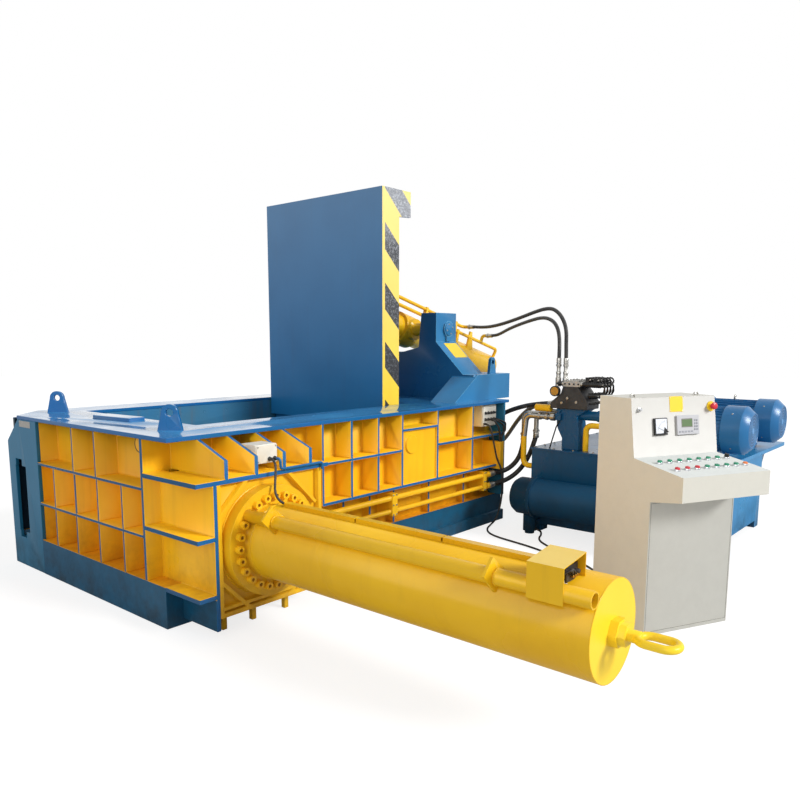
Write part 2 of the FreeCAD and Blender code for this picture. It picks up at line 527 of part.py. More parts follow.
# the swivel eye on the barrel's end: hexagon nuts, a neck and an oval ring
nuts = [hexagon("y", ("cyl_x", "cyl_z"), r, (f"-side_len - {y1}", f"-side_len - {y0}"))
        for r, y0, y1 in ((62, 0, 34), (50, 34, 62))]
neck = bar("y", ("cyl_x", "cyl_z"), 26, ("-side_len - 108", "-side_len - 62"))
TOP, LOW = value("-side_len - 100"), value("-side_len - 205")
MIDDLE, HALF = value("cyl_x"), 48
loop = Part.Wire([
    Part.LineSegment(Vector(MIDDLE + HALF, TOP - HALF, 0), Vector(MIDDLE + HALF, LOW, 0)).toShape(),
    Part.Arc(Vector(MIDDLE + HALF, LOW, 0), Vector(MIDDLE, LOW - HALF, 0),
             Vector(MIDDLE - HALF, LOW, 0)).toShape(),
    Part.LineSegment(Vector(MIDDLE - HALF, LOW, 0), Vector(MIDDLE - HALF, TOP - HALF, 0)).toShape(),
    Part.Arc(Vector(MIDDLE - HALF, TOP - HALF, 0), Vector(MIDDLE, TOP, 0),
             Vector(MIDDLE + HALF, TOP - HALF, 0)).toShape()])
eye = doc.addObject("Part::Feature", "EyeRing")
eye.Shape = loop.makePipeShell([Part.Wire([Part.Circle(
    Vector(MIDDLE + HALF, TOP - HALF, 0), Vector(0, 1, 0), value("eye_bar")).toShape()])], True, True)
eye.Placement = Placement(Vector(0, 0, value("cyl_z")), Rotation())
node("lifting_eye", weld(*nuts, neck, eye))

# ---------------------------------------------------------------- position sensor on the barrel
TX, TZ = "cyl_x - tube_dx", "cyl_z + tube_dz"
sleeve = cut(bar("y", (TX, TZ), "tube_r", ("-tube_end", FACE)),
             bar("y", (TX, TZ), "tube_bore", ("-tube_end - 1", "1 - frame_y - flange_t")))
clamps = []
for y in ("-strap_y0", "-strap_y1"):
    strap = profile("y", [("cyl_x - 119", "cyl_z + 170"), ("cyl_x - 119", "cyl_z + 190"),
                          ("cyl_x - 216", "cyl_z + 265"), ("cyl_x - 280", "cyl_z + 197"),
                          ("cyl_x - 195", "cyl_z + 112"), ("cyl_x - 175", "cyl_z + 112")],
                    (y, f"{y} + strap_t"))
    clamps.append(cut(strap, bar("y", (TX, TZ), "tube_bore + 2", (f"{y} - 50", f"{y} + 90")),
                      bar("y", ("cyl_x", "cyl_z"), "side_r", (f"{y} - 50", f"{y} + 90"))))
carriers = []
for y in (-900, -1320):
    pad = block(("cyl_x - 170", "cyl_x - 140"), (y, y + 40), ("cyl_z + 120", TZ))
    carriers.append(cut(pad, bar("y", (TX, TZ), "tube_bore + 2", (y - 50, y + 90)),
                        bar("y", ("cyl_x", "cyl_z"), "side_r", (y - 50, y + 90))))
track = weld(sleeve, *clamps, *carriers)
duct = [cut(block(("cyl_x - duct_wid / 2", "cyl_x + duct_wid / 2"), (low, high),
                  ("cyl_z + 200", "cyl_z + 236")),
            block(("cyl_x - duct_wid / 2 + sheet", "cyl_x + duct_wid / 2 - sheet"),
                  (f"{low} - 1", f"{high} + 1"), ("cyl_z + 200", "cyl_z + 236 - sheet")),
            bar("y", ("cyl_x", "cyl_z"), "side_r", (f"{low} - 9", f"{high} + 9")))
        for low, high in (("-1020", "-duct_y0"), (-1570, -1030), (-2130, -1580))]
COVER_Y = ("-cover_y1", "-cover_y0")
cover = [profile("y", [("cover_x0", "cover_lo - sheet"), ("cover_x1", "cover_hi - sheet"),
                       ("cover_x1", "cover_hi"), ("cover_x0", "cover_lo")], COVER_Y),
         block(("cover_x0", "cover_x0 + sheet"), COVER_Y, ("cover_skirt", "cover_lo - 1")),
         block(("cover_x1 - sheet", "cover_x1"), COVER_Y, ("cyl_z + 200", "cover_hi - sheet")),
         profile("y", [("cover_x0 + 1", "cyl_z + 214"), ("cover_x1 - 1", "cyl_z + 214"),
                       ("cover_x1 - 1", "cover_hi - sheet"), ("cover_x0 + 1", "cover_lo - sheet")],
                 ("-cover_y0 - sheet", "-cover_y0"))]
cover[1] = cut(cover[1], bar("y", (TX, TZ), "tube_r", (-2400, -2000)))
cover[2] = cut(cover[2], bar("y", ("cyl_x", "cyl_z"), "side_r", (-2400, -2000)))
switch = weld(block(("cyl_x - 140", "cyl_x - 48"), (-2266, -2186), ("cyl_z + 200", "cyl_z + 266")),
              bar("z", ("cyl_x - 115", -2226), 15, ("cyl_z + 266", "cyl_z + 276")),
              bar("y", ("cyl_x - 80", "cyl_z + 240"), 9, (-2290, -2266)))
switch = cut(switch, bar("y", ("cyl_x", "cyl_z"), "side_r", (-2400, -2000)))
node("sensor_track", track, *duct, weld(*cover))
node("limit_switch", switch)

# ---------------------------------------------------------------- main ram and cylinder
MAIN = (MID, "main_z")
main_tube = turned([("main_rod + gland_gap", 0), ("main_r - 4", 0), ("main_r - 4", "rear_x - main_x0"),
                    ("main_r - 4", "rear_x - main_x0 + skin"), ("main_flange", "rear_x - main_x0 + skin"),
                    ("main_flange", "rear_x - main_x0 + skin + 60"),
                    ("main_r", "rear_x - main_x0 + skin + 60"), ("main_r", "main_x1 - main_x0"),
                    (0, "main_x1 - main_x0"), (0, "main_x1 - main_x0 - 50"),
                    ("main_bore", "main_x1 - main_x0 - 50"), ("main_bore", 80),
                    ("main_rod + gland_gap", 80)], ("main_x0", MID, "main_z"), (1, 0, 0))
ports = [bar("y", (f"{x} + 0", "main_z"), 34, (800, f"{MID} - main_bore - 20")) for x in (3620, 4560)]
cradle = [cut(block((x, f"{x} + 60"), (f"{MID} - 160", f"{MID} + 160"), (0, "main_z - 60")),
              bar("x", MAIN, "main_r", ("main_x0", "main_x1"))) for x in (3560, 4520)]
node("main_barrel", weld(main_tube, *ports), *cradle)
ram_head = block(("face_x + 2", "face_x + main_head"), ("open_y0 + 1", "open_y1 - 1"),
                 ("base_top + skin + 1", "main_top"))
ram_hole = block(("face_x + 42", "face_x + main_head + 1"), ("open_y0 + 41", "open_y1 - 41"),
                 ("base_top + skin + 41", "main_top - 40"))
ram_ribs = [block(("face_x + 42", "face_x + main_head"), (y, f"{y} + 25"),
                  ("base_top + skin + 41", "main_top - 40")) for y in (640, 1440)]
rod = bar("x", MAIN, "main_rod", ("face_x + 42", "main_x1 - 170"))
piston = bar("x", MAIN, "main_bore - gland_gap", ("main_x1 - 190", "main_x1 - 90"))
node("main_ram", weld(cut(ram_head, ram_hole), *ram_ribs, rod, piston))

# ---------------------------------------------------------------- lid
BACK = "face_x + lid_t"
lid_box = block(("face_x", BACK), ("lid_y0", "lid_y1"), ("hinge_z", "lid_top"))
cells = [block(("face_x + lid_plate", f"{BACK} - 20"), (y0, y1), (z0, z1))
         for y0, y1 in (("lid_y0 + skin", f"{MID} - 12"), (f"{MID} + 12", "lid_y1 - skin"))
         for z0, z1 in (("hinge_z + 130", 1700), (1720, 2250), (2270, "lid_top - skin"))]
drains = [bar("z", (f"face_x + 110", y), 20, ("hinge_z + 130", "lid_top - skin - 5"))
          for y in (700, 1400)]
ears = [profile("y", [(BACK, 2604), (BACK, "lid_top"), (f"{BACK} + 145", "lid_top"),
                      (f"{BACK} + 145", 2612)], span)
        for span in (("lid_y0", "lid_y0 + skin"), ("lid_y1 - skin", "lid_y1"))]
ears.append(block((BACK, f"{BACK} + 60"), ("lid_y0 + skin", "lid_y1 - skin"),
                  ("lid_top - skin", "lid_top")))
back_ribs = [block((BACK, f"{BACK} + 45"), (f"{y} - 10", f"{y} + 10"), (1180, "lid_top - 240"))
             for y in (620, 860, 1244, 1484)]
tab = block((f"{BACK} - 70", f"{BACK} - 45"), (547, 790), ("lid_top", "lid_top + 16"))
tube = bar("y", ("hinge_x", "hinge_z"), "knuckle_r", ("lid_y0", "lid_y1"))
pin_bore = bar("y", ("hinge_x", "hinge_z"), "pin_r + gland_gap", (200, 1900))


def eye_lug(low, high):
    """One cheek of the lid's clevis, with its boss."""
    plate = profile("y", [(BACK, "lug_z - 200"), ("lug_x + 10", "lug_z - lug_r"),
                          ("lug_x + 10", "lug_z + lug_r"), (BACK, "lug_z + 200")], (low, high))
    return weld(plate, bar("y", ("lug_x", "lug_z"), "lug_r", (low, high)))


clevis = [eye_lug(f"{MID} - lug_gap - lug_t", f"{MID} - lug_gap"),
          eye_lug(f"{MID} + lug_gap", f"{MID} + lug_gap + lug_t")]
caps = [bar("y", ("lug_x", "lug_z"), 40, (f"{MID} - lug_gap - lug_t - 14", f"{MID} - lug_gap - lug_t")),
        bar("y", ("lug_x", "lug_z"), 40, (f"{MID} + lug_gap + lug_t", f"{MID} + lug_gap + lug_t + 14"))]
node("lid", cut(weld(cut(lid_box, *cells, *drains), *ears, *back_ribs, tab, tube, *clevis, *caps),
                pin_bore))

# ---------------------------------------------------------------- lid cylinder
TILT = math.degrees(math.atan2(value("lug_z - trun_z"), value("trun_x - lug_x")))
REACH = math.hypot(value("lug_z - trun_z"), value("trun_x - lug_x"))
CLOSED = (value("hinge_x - (lug_z - hinge_z)"), value("hinge_z + lug_x - hinge_x"))
SHUT = math.hypot(CLOSED[0] - value("trun_x"), CLOSED[1] - value("trun_z"))
DROP = math.degrees(math.atan2(value("trun_z") - CLOSED[1], value("trun_x") - CLOSED[0]))
print(f"lid cylinder: {REACH:.1f} open, {SHUT:.1f} shut, swing {TILT + DROP:.3f} deg,"
      f" stroke {SHUT - REACH:.2f}, ratios {(TILT + DROP) / 90:.5f} and"
      f" {(SHUT - REACH) / 1000 / (math.pi / 2):.5f}")
AIM = (-math.cos(math.radians(TILT)), 0, math.sin(math.radians(TILT)))
lid_tube = turned([("lid_rod + gland_gap", "lid_fore"), ("lid_cyl_r + 14", "lid_fore"),
                   ("lid_cyl_r + 14", "lid_fore - 70"), ("lid_cyl_r", "lid_fore - 70"),
                   ("lid_cyl_r", 100), ("collar_r", 100), ("collar_r", -100), ("lid_cyl_r", -100),
                   ("lid_cyl_r", "-lid_aft"), (0, "-lid_aft"), (0, "40 - lid_aft"),
                   ("lid_bore", "40 - lid_aft"), ("lid_bore", "lid_fore - 60"),
                   ("lid_rod + gland_gap", "lid_fore - 60")], ("trun_x", MID, "trun_z"), AIM)
stubs = [bar("y", ("trun_x", "trun_z"), "trun_r", ("head_y0 + 4", f"{MID} - collar_r + 24")),
         bar("y", ("trun_x", "trun_z"), "trun_r", (f"{MID} + collar_r - 24", "2 * 1052 - head_y0 - 4"))]
hubs = [bar("y", ("trun_x", "trun_z"), "hub_r", (f"{MID} - collar_r - 30", f"{MID} - collar_r + 24")),
        bar("y", ("trun_x", "trun_z"), "hub_r", (f"{MID} + collar_r - 24", f"{MID} + collar_r + 30"))]
lid_hole = placed(bar("z", (0, 0), "lid_bore", ("40 - lid_aft", "lid_fore - 60")),
                  ("trun_x", MID, "trun_z"), (0, 1, 0), TILT - 90)
node("lid_barrel", weld(lid_tube, cut(weld(*stubs, *hubs), lid_hole)))
lid_shaft = turned([(0, -1500), ("lid_bore - gland_gap", -1500), ("lid_bore - gland_gap", -1400),
                    ("lid_rod", -1400), ("lid_rod", REACH - 110), (38, REACH - 96), (38, REACH - 40),
                    (0, REACH - 40)], ("trun_x", MID, "trun_z"), AIM)
rod_eye = bar("y", ("lug_x", "lug_z"), "lug_r - 6", (f"{MID} - lug_gap + 3", f"{MID} + lug_gap - 3"))
node("lid_rod", weld(lid_shaft, rod_eye))

# ---------------------------------------------------------------- towers and their base box
FLIP = "2 * 1052"
HEAD = [("slope_y", "deck_z", 1.45, 0), ("head_y0", "head_z0", 1, -0.43),
        ("head_y0", "head_z1", 1, -1), ("head_y1", "head_z1", -0.9, -1),
        ("head_y1 + 30", "saddle_z + 45", -0.93, -0.82), ("saddle_y", "saddle_z", -0.1, -1)]


def tower_outline(inset):
    """The saddle between the two heads; inset draws the space inside its plates."""
    near = [(f"{y} + tplate * {ky * inset}", f"{z} + tplate * {kz * inset}") for y, z, ky, kz in HEAD]
    return near + [(f"{FLIP} - ({y})", z) for y, z in reversed(near)]


saddle = profile("x", tower_outline(0), ("tower_x0", "tower_x1"))
saddle_core = profile("x", tower_outline(1), ("tower_x0 + tplate", "tower_x1 - tplate"))
bearings, keepers = [], []
for y0, y1, out0, out1 in (("head_y0", "head_y1", "head_y0 - 16", "head_y0"),
                           (f"{FLIP} - head_y1", f"{FLIP} - head_y0",
                            f"{FLIP} - head_y0", f"{FLIP} - head_y0 + 16")):
    bearings.append(bar("y", ("trun_x", "trun_z"), "trun_r + 38", (f"{y0} + 2", f"{y1} - 2")))
    keepers += [bar("y", ("trun_x", "trun_z"), "trun_r + 12", (out0, out1)),
                block(("trun_x - 34", "trun_x + 34"), (out0, out1), ("trun_z - 112", "trun_z - 60"))]
trun_hole = [bar("y", ("trun_x", "trun_z"), "trun_r + gland_gap", ("head_y0", 800)),
             bar("y", ("trun_x", "trun_z"), "trun_r + gland_gap", (1304, f"{FLIP} - head_y0"))]
TOWER_FAR = f"{FLIP} - tower_y"
DECK = "deck_z - tplate"
cheek = [("wedge_x", "rim_top"), ("tower_x0 + 30", "deck_z"), ("tower_end", "deck_z"),
         ("tower_end", "rim_top")]
box_sides = [profile("y", cheek, ("tower_y", "tower_y + tplate")),
             profile("y", cheek, (f"{TOWER_FAR} - tplate", TOWER_FAR))]
slope = [("wedge_x", "rim_top"), ("tower_x0 + 30", "deck_z"), ("tower_x0 + 30", "deck_z - 30"),
         ("wedge_x + 45", "rim_top")]
wedge = [("wedge_x + 45", "rim_top"), ("tower_x0", DECK), ("tower_x0", "rim_top")]
slopes = [profile("y", slope, ("tower_y + tplate", "wedge_y")),
          profile("y", slope, (f"{FLIP} - wedge_y", f"{TOWER_FAR} - tplate")),
          profile("y", wedge, ("wedge_y - tplate", "wedge_y")),
          profile("y", wedge, (f"{FLIP} - wedge_y", f"{FLIP} - wedge_y + tplate"))]
INNER = ("tower_y + tplate", f"{TOWER_FAR} - tplate")
box = [block(("tower_x0", "tower_end"), INNER, (DECK, "deck_z")),
       block(("tower_x0", "tower_x0 + tplate"), INNER, ("rim_top", DECK)),
       block(("tower_end - tplate", "tower_end"), INNER, ("rim_top", DECK)),
       block(("rim_len", "tower_end - tplate"), INNER, ("rim_top", "rim_top + tplate"))]
node("lid_towers", cut(weld(cut(saddle, saddle_core), *bearings, *keepers, *box_sides, *slopes, *box,
                            lug((3471, 110, "deck_z"), 0, "tower_lug", "lug_h - 9"),
                            lug((3471, f"{FLIP} - 110", "deck_z"), 0, "tower_lug", "lug_h - 9")),
                       *trun_hole))

# ---------------------------------------------------------------- pipes along the lid cylinder


def on_lid_tube(along, above, aside=0):
    """A point beside the lid cylinder: distance behind the trunnion, above its axis, aside."""
    t = math.radians(TILT)
    return (value("trun_x") + along * math.cos(t) + above * math.sin(t), value(MID) + aside,
            value("trun_z") - along * math.sin(t) + above * math.cos(t))


fore_pipe = pipe([on_lid_tube(-335, 100, -60), on_lid_tube(-335, 270, -60), on_lid_tube(900, 270, -60),
                  on_lid_tube(900, 270, -127)], 17, 45)
aft_pipe = pipe([on_lid_tube(1535, 60, -60), on_lid_tube(1535, 185, -100), on_lid_tube(-300, 185, -100)],
                17, 30)
aft_elbow = pipe([on_lid_tube(1217, 185, -100), on_lid_tube(1230, 262, -100),
                  on_lid_tube(1230, 262, -150)], 17, 28)
fittings = []
for along in (250, 760):
    fittings += [((along, (-16, 16)), (-80, -40), ("lid_cyl_r - 30", 292)),
                 ((along, (-16, 16)), (-122, -38), ("lid_cyl_r - 60", 206))]
fittings.append(((-300, (-24, 24)), (-124, -76), ("lid_cyl_r - 60", 209)))
grips = [placed(block(wide, aside, above), on_lid_tube(along, 0), (0, 1, 0), TILT)
         for (along, wide), aside, above in fittings]
fin = placed(profile("y", [(-50, 60), (60, 60), (10, 245), (-25, 245)], (-110, -90)),
             on_lid_tube(1010, 0), (0, 1, 0), TILT)
tube_body = placed(bar("z", (0, 0), "lid_cyl_r + 2 * gland_gap", ("5 - lid_aft", "lid_fore - 10")),
                   ("trun_x", MID, "trun_z"), (0, 1, 0), TILT - 90)
node("lid_pipes", cut(weld(fore_pipe, aft_pipe, aft_elbow, *grips, fin), tube_body))

# ---------------------------------------------------------------- pipes along the front wall
runs = [bar("x", ("-pipe_y", z), r, ("frame_x1", "pipe_x1"))
        for z, r in (("pipe_hi", "pipe_r"), ("pipe_lo", "pipe_r - 3"))]
saddles = [block((x0, x1), ("-pipe_y - 26", WALL), ("pipe_lo - 32", "pipe_hi + 36"))
           for x0, x1 in ((1862, 1922), (3080, 3124))]
node("side_pipes", weld(*runs, *saddles))

# ---------------------------------------------------------------- junction boxes and their leads
jb_body = weld(block(("jb_x", "jb_x + jb_len"), ("-jb_y", "jb_dep - jb_y"), ("jb_z", "jb_z + jb_high")),
               block(("jb_x + 4", "jb_x + jb_len - 4"), ("-jb_y - 12", "-jb_y"),
                     ("jb_z + 4", "jb_z + jb_high - 4")),
               block(("jb_x + 45", "jb_x + 110"), ("jb_dep - jb_y", WALL), ("jb_z + 24", "jb_z + 84")))
jb_glands = [bar("y", (x, 950), "gland_r", ("-jb_y - 34", "-jb_y - 12")) for x in (518, 556)]
jc_body = weld(block(("jc_x", "jc_x + jc_len"), ("-jc_y", WALL), ("jc_z", "jc_z + jc_high")),
               block(("jc_x + 5", "jc_x + jc_len - 5"), ("-jc_y - 12", "-jc_y"),
                     ("jc_z + 5", "jc_z + jc_high - 5")))
jc_glands = [bar("y", (f"jc_x + 36 + {43 * i}", z), "gland_r", ("-jc_y - 34", "-jc_y - 12"))
             for i in range(4) for z in (997, 941)]
jc_glands.append(bar("y", (3146, 905), "gland_r", ("-jc_y - 34", "-jc_y - 12")))
leads = [pipe([(3209, -54, 941), (3209, -98, 936), (3262, -112, 872), (3301, -98, 806),
               (3301, -98, 740)], 8, 24),
         pipe([(3252, -54, 941), (3252, -98, 934), (3330, -114, 888), (3352, -108, 816),
               (3318, -104, 786), (3318, -104, 740)], 8, 24),
         pipe([(3295, -54, 941), (3295, -96, 934), (3376, -108, 902), (3390, -98, 832),
               (3336, -92, 792), (3336, -92, 740)], 8, 24),
         pipe([(556, -324, 950), (556, -352, 950), (560, -352, 896), (600, -342, 888),
               (899, -342, 888), (899, -342, 846)], 8, 15)]
node("junction_boxes", weld(jb_body, *jb_glands, leads[3]), weld(jc_body, *jc_glands, *leads[:3]))

# ---------------------------------------------------------------- oil tank and cooler
TANK_Y = ("-tank_y0", "-tank_y1")
tank = cut(block(("tank_x0", "tank_x1"), TANK_Y, ("tank_z0", "tank_z1")),
           block(("tank_x0 + tank_wall", "tank_x1 - tank_wall"),
                 ("tank_wall - tank_y0", "-tank_y1 - tank_wall"),
                 ("tank_z0 + tank_wall", "tank_z1 - tank_wall")))
filler = bar("z", (4050, -1000), 60, ("tank_z1 - tank_wall - 1", "tank_z1 + tank_lid + 40"))
filler_bore = bar("z", (4050, -1000), 45, ("tank_z1 - 40", "tank_z1 + tank_lid + 30"))
vent = bar("z", (4050, -1000), 8, ("tank_z1", "tank_z1 + 100"))
top = block(("tank_x0 - 10", "tank_x1 + 10"), ("-tank_y0 - 10", "10 - tank_y1"),
            ("tank_z1", "tank_z1 + tank_lid"))
tank_feet = [block((x, f"{x} + 110"), (y, f"{y} + 110"), (0, "tank_z0"))
             for x in ("tank_x0", "tank_x1 - 110") for y in ("-tank_y0", "-tank_y1 - 110")]
vessel = turned([(0, 0), ("ves_r", 0), ("ves_r", 1085), ("ves_r + 16", 1085), ("ves_r + 16", 1115),
                 ("ves_r", 1115), ("ves_r", 1250), ("ves_r - 22", 1285), ("ves_r - 70", 1306),
                 (0, 1312)], ("ves_x", "-ves_y1", "ves_z"), (0, 1, 0))
collar = block(("ves_x", "tank_x0"), (-1540, -1420), ("ves_z - 60", "ves_z + 60"))
collar_b = block(("ves_x", "tank_x0"), (-760, -640), ("ves_z - 60", "ves_z + 60"))
drain_pot = weld(bar("z", (3214, -470), 56, (24, "ves_z - 100")), bar("z", (3214, -470), 40, (0, 24)),
                 block((3214, "tank_x0 + 2"), (-500, -440), (100, 160)))
platform = block((3400, 4880), (-2010, -1180), ("tank_z1 + tank_lid", "tank_z1 + tank_lid + 30"))
outrigger = profile("y", [("tank_x1", 500), ("tank_x1 + 120", 640), ("tank_x1 + 120", "tank_z1 + tank_lid"),
                          ("tank_x1", "tank_z1 + tank_lid")], (-1860, -1800))
node("oil_tank", cut(weld(tank, top, filler, vent, *tank_feet, vessel, collar, collar_b, drain_pot,
                          platform, outrigger), filler_bore))

# ---------------------------------------------------------------- valve stand, valves, gauge
BLOCK_Z = 1060
stand = profile("x", [("65 - stand_y", "tank_z1 + tank_lid"), ("65 - stand_y", 812),
                      ("104 - stand_y", 885), ("117 - stand_y", 927), ("122 - stand_y", BLOCK_Z),
                      ("-155 - stand_y", BLOCK_Z), ("-64 - stand_y", 1000),
                      ("-82 - stand_y", 900), ("-85 - stand_y", 826),
                      ("-88 - stand_y", "tank_z1 + tank_lid")],
                ("stand_x", "stand_x + stand_w"))
valve_block = profile("x", [("171 - stand_y", BLOCK_Z), ("171 - stand_y", 1107), ("79 - stand_y", 1187),
                            ("60 - stand_y", 1245), ("-70 - stand_y", 1245), ("-95 - stand_y", 1216),
                            ("-162 - stand_y", 1126), ("-162 - stand_y", BLOCK_Z)],
                      ("stand_x - 20", "stand_x + stand_w + 50"))
node("manifold", stand, valve_block)
valves = []
for i in range(4):
    x = f"stand_x + 6 + {56 * i}"
    body = block((f"{x} - 23", f"{x} + 23"), ("-95 - stand_y", "65 - stand_y"), (1245, 1290))
    coil = bar("y", (x, 1266), 21, ("-315 - stand_y", "-95 - stand_y"))
    fins = [bar("y", (x, 1266), 25, (f"-{d + 16} - stand_y", f"-{d} - stand_y"))
            for d in (110, 140, 170, 200, 230, 260)]
    left = bar("y", (x, 1270), 19, ("65 - stand_y", "130 - stand_y"))
    plug = block((f"{x} - 14", f"{x} + 14"), ("-190 - stand_y", "-160 - stand_y"), (1286, 1316))
    valves.append(weld(body, coil, *fins, left, plug))
risers = [weld(bar("z", (x, y), 17, (1292, 1330)), hexagon("z", (x, y), 24, (1330, 1356)),
               bar("z", (x, y), 19, (1356, 1400))) for x, y in ((3440, -640), (3440, -575))]
base_pads = [block((3420, 3460), (-662, -618), (1245, 1292)), block((3420, 3460), (-597, -553), (1107, 1292))]
gauge = weld(bar("x", (-600, 1206), 44, ("stand_x - 62", "stand_x - 30")),
             bar("x", (-600, 1206), 11, ("stand_x - 30", "stand_x - 6")),
             block(("stand_x - 20", "stand_x + 2"), (-616, -584), (1150, 1220)))
node("solenoid_valves", cut(weld(*valves, *risers, *base_pads), valve_block), cut(gauge, valve_block))

# ---------------------------------------------------------------- rigid pipes of the power unit
return_pipe = pipe([(3372, -600, 985), (3372, -320, 985), (3372, -300, 800), (3372, -300, 548),
                    (3372, -400, 548)], 24, 55)
suction = pipe([(3425, -850, "tank_z1 + tank_lid"), (3425, -850, 930), (3425, -960, 930),
                (3560, -1090, 965)], 24, 50)
riser_a = pipe([(3432, -262, 829), (3432, -262, 1000), (3432, -593, 1000)], 21, 60)
riser_b = pipe([(3492, -350, 857), (3492, -350, 1020), (3492, -593, 1020)], 21, 60)
stub = bar("y", (3392, 1056), 30, (-544, -400))
ends = [bar("x", ("-pipe_y", z), 26, ("pipe_x1", "pipe_x1 + 40")) for z in ("pipe_hi", "pipe_lo")]
node("unit_pipes", cut(return_pipe, stand), suction, riser_a, riser_b, stub, *ends)

# ---------------------------------------------------------------- motors and pumps
motors, pumps = [], []
for i in range(2):
    axis_x = f"motor_x + motor_pitch * {i}"
    motor = turned([(0, 0), (130, 0), (150, 8), ("motor_r", 48), ("motor_r", 190),
                    ("motor_r - 14", 192), ("motor_r - 14", 560), ("motor_r + 10", 562),
                    ("motor_r + 10", 590), (0, 590)], (axis_x, "-motor_end", "motor_z"), (0, 1, 0))
    soles = [block((f"{axis_x} - 150", f"{axis_x} + 150"), (y, f"{y} + 70"),
                   ("tank_z1 + tank_lid + 30", "motor_z - 120")) for y in (-1860, -1600)]
    lift = bar("z", (axis_x, -1700), 12, ("motor_z + 150", "motor_z + 200"))
    crate = block((f"{axis_x} + 130", f"{axis_x} + 220"), (-1800, -1640), ("motor_z - 10", "motor_z + 100"))
    motors.append(weld(motor, *soles, lift, crate))
    bell = turned([(0, 590), ("motor_r", 590), ("motor_r", 612), (130, 640), (130, 730), (150, 732),
                   (150, 756), (95, 760), (95, 960), (0, 960)],
                  (axis_x, "-motor_end", "motor_z"), (0, 1, 0))
    rest = block((f"{axis_x} - 60", f"{axis_x} + 60"), (-1320, -1200),
                 ("tank_z1 + tank_lid + 30", "motor_z - 60"))
    pumps.append(weld(bell, rest))
node("motors", *motors)
node("pumps", *pumps)

# ---------------------------------------------------------------- control desk, in its own frame
DESK = dict(place=("desk_x", "-desk_y", 0), turn=Rotation(Vector(0, 0, 1), DESK_TURN))
side = [(0, 0), (0, "desk_under"), ("-desk_out", "desk_lip"), ("-desk_out", "desk_front"),
        ("desk_in", "desk_back"), ("panel_in", "desk_top"), ("desk_dep", "desk_top"), ("desk_dep", 0)]
inside = [("con_t", "con_t"), ("con_t", "desk_under + con_t"), ("con_t - desk_out", "desk_lip + con_t"),
          ("con_t - desk_out", "desk_front - con_t"), ("desk_in + con_t", "desk_back - con_t"),
          ("panel_in + con_t", "desk_top - con_t"), ("desk_dep - con_t", "desk_top - con_t"),
          ("desk_dep - con_t", "con_t")]
case = cut(profile("x", side, (0, "desk_w")), profile("x", inside, ("con_t", "desk_w - con_t")))
inlets = [bar("y", (x, 30), 13, ("desk_dep", "desk_dep + 10")) for x in (300, 345)]
door = block((25, "desk_w - 25"), ("desk_dep", "desk_dep + 6"), (70, 1240))
latch = bar("y", (70, 700), 14, ("desk_dep + 6", "desk_dep + 20"))
node("console", weld(case, door, latch, *inlets), **DESK)
SLOPE = math.degrees(math.atan2(value("desk_back - desk_front"), value("desk_in + desk_out")))
LEAN = math.degrees(math.atan2(value("desk_top - desk_back"), value("panel_in - desk_in")))


def facing(x, along, panel=False, lift=0):
    """A spot on the desk's slope or the upright panel, and the turn that faces out of it."""
    angle = LEAN if panel else SLOPE
    y0, z0 = (value("desk_in"), value("desk_back")) if panel else (-value("desk_out"), value("desk_front"))
    a = math.radians(angle)
    spot = Vector(x, y0 + along * math.cos(a) - lift * math.sin(a),
                  z0 + along * math.sin(a) + lift * math.cos(a))
    return spot, Rotation(Vector(1, 0, 0), angle)


def seat(piece, *where, **kind):
    """A piece built on the origin along Z, set on the desk in the desk's own frame."""
    spot, turn = facing(*where, **kind)
    made = doc.addObject("Part::Compound", f"Seat{next(serial)}")
    made.Links = [piece]
    made.Placement = Placement(spot, turn)
    return made


def free(label, piece, *where, **kind):
    """A moving piece on the desk, in the corner frame."""
    spot, turn = facing(*where, **kind)
    around = Rotation(Vector(0, 0, 1), DESK_TURN)
    spot = around.multVec(spot) + at("desk_x", "-desk_y", 0)
    normal = around.multVec(turn.multVec(Vector(0, 0, 1)))
    print(f"{label}: at {spot.x - value('base_len / 2'):.2f} {spot.y - value('base_wid / 2'):.2f}"
          f" {spot.z:.2f}, out {normal.x:.5f} {normal.y:.5f} {normal.z:.5f}")
    return node(label, piece, place=(spot.x, spot.y, spot.z), turn=around * turn)


def ring(outer, inner, high):
    return cut(bar("z", (0, 0), outer, (0, high)), bar("z", (0, 0), inner, (-1, f"{high} + 1")))


columns = [value(f"button_x0 + button_pitch * {i}") for i in range(8)]
fixed = []
for row, columns_used in (("row_back", columns), ("row_front", columns[:7])):
    for x in columns_used:
        fixed.append(seat(ring("bezel_r", "button_r + gland_gap", "bezel_t"), x, value(row)))
lamp = weld(bar("z", (0, 0), "bezel_r", (0, "bezel_t")),
            bar("z", (0, 0), "button_r", ("bezel_t", "bezel_t + 9")))
meter = weld(block((-46, 46), (-48, 48), (0, 12)), block((-40, 40), (-42, 42), (12, 16)))
screen = weld(block((-81, 81), (-55, 55), (0, 12)), block((-48, 30), (-12, 34), (12, 15)))
keys = [block((46 + 14 * i, 56 + 14 * i), (-30 + 17 * k, -20 + 17 * k), (12, 15))
        for i in range(2) for k in range(4)]
fixed += [seat(lamp, columns[7], value("row_front")),
          seat(meter, 192, 166, panel=True), seat(weld(screen, *keys), 390, 168, panel=True),
          seat(ring(13, "9 + gland_gap", 9), 50, 265, panel=True),
          seat(ring(29, "11 + gland_gap", 8), 575, 268, panel=True)]
node("console_instruments", *fixed, **DESK)
for i in range(7):
    for row in ("back", "front"):
        cap = bar("z", (0, 0), "button_r", ("bezel_t - 4", "bezel_t + button_out"))
        free(f"button_{row}_{i + 1}", cap, columns[i], value(f"row_{row}"))
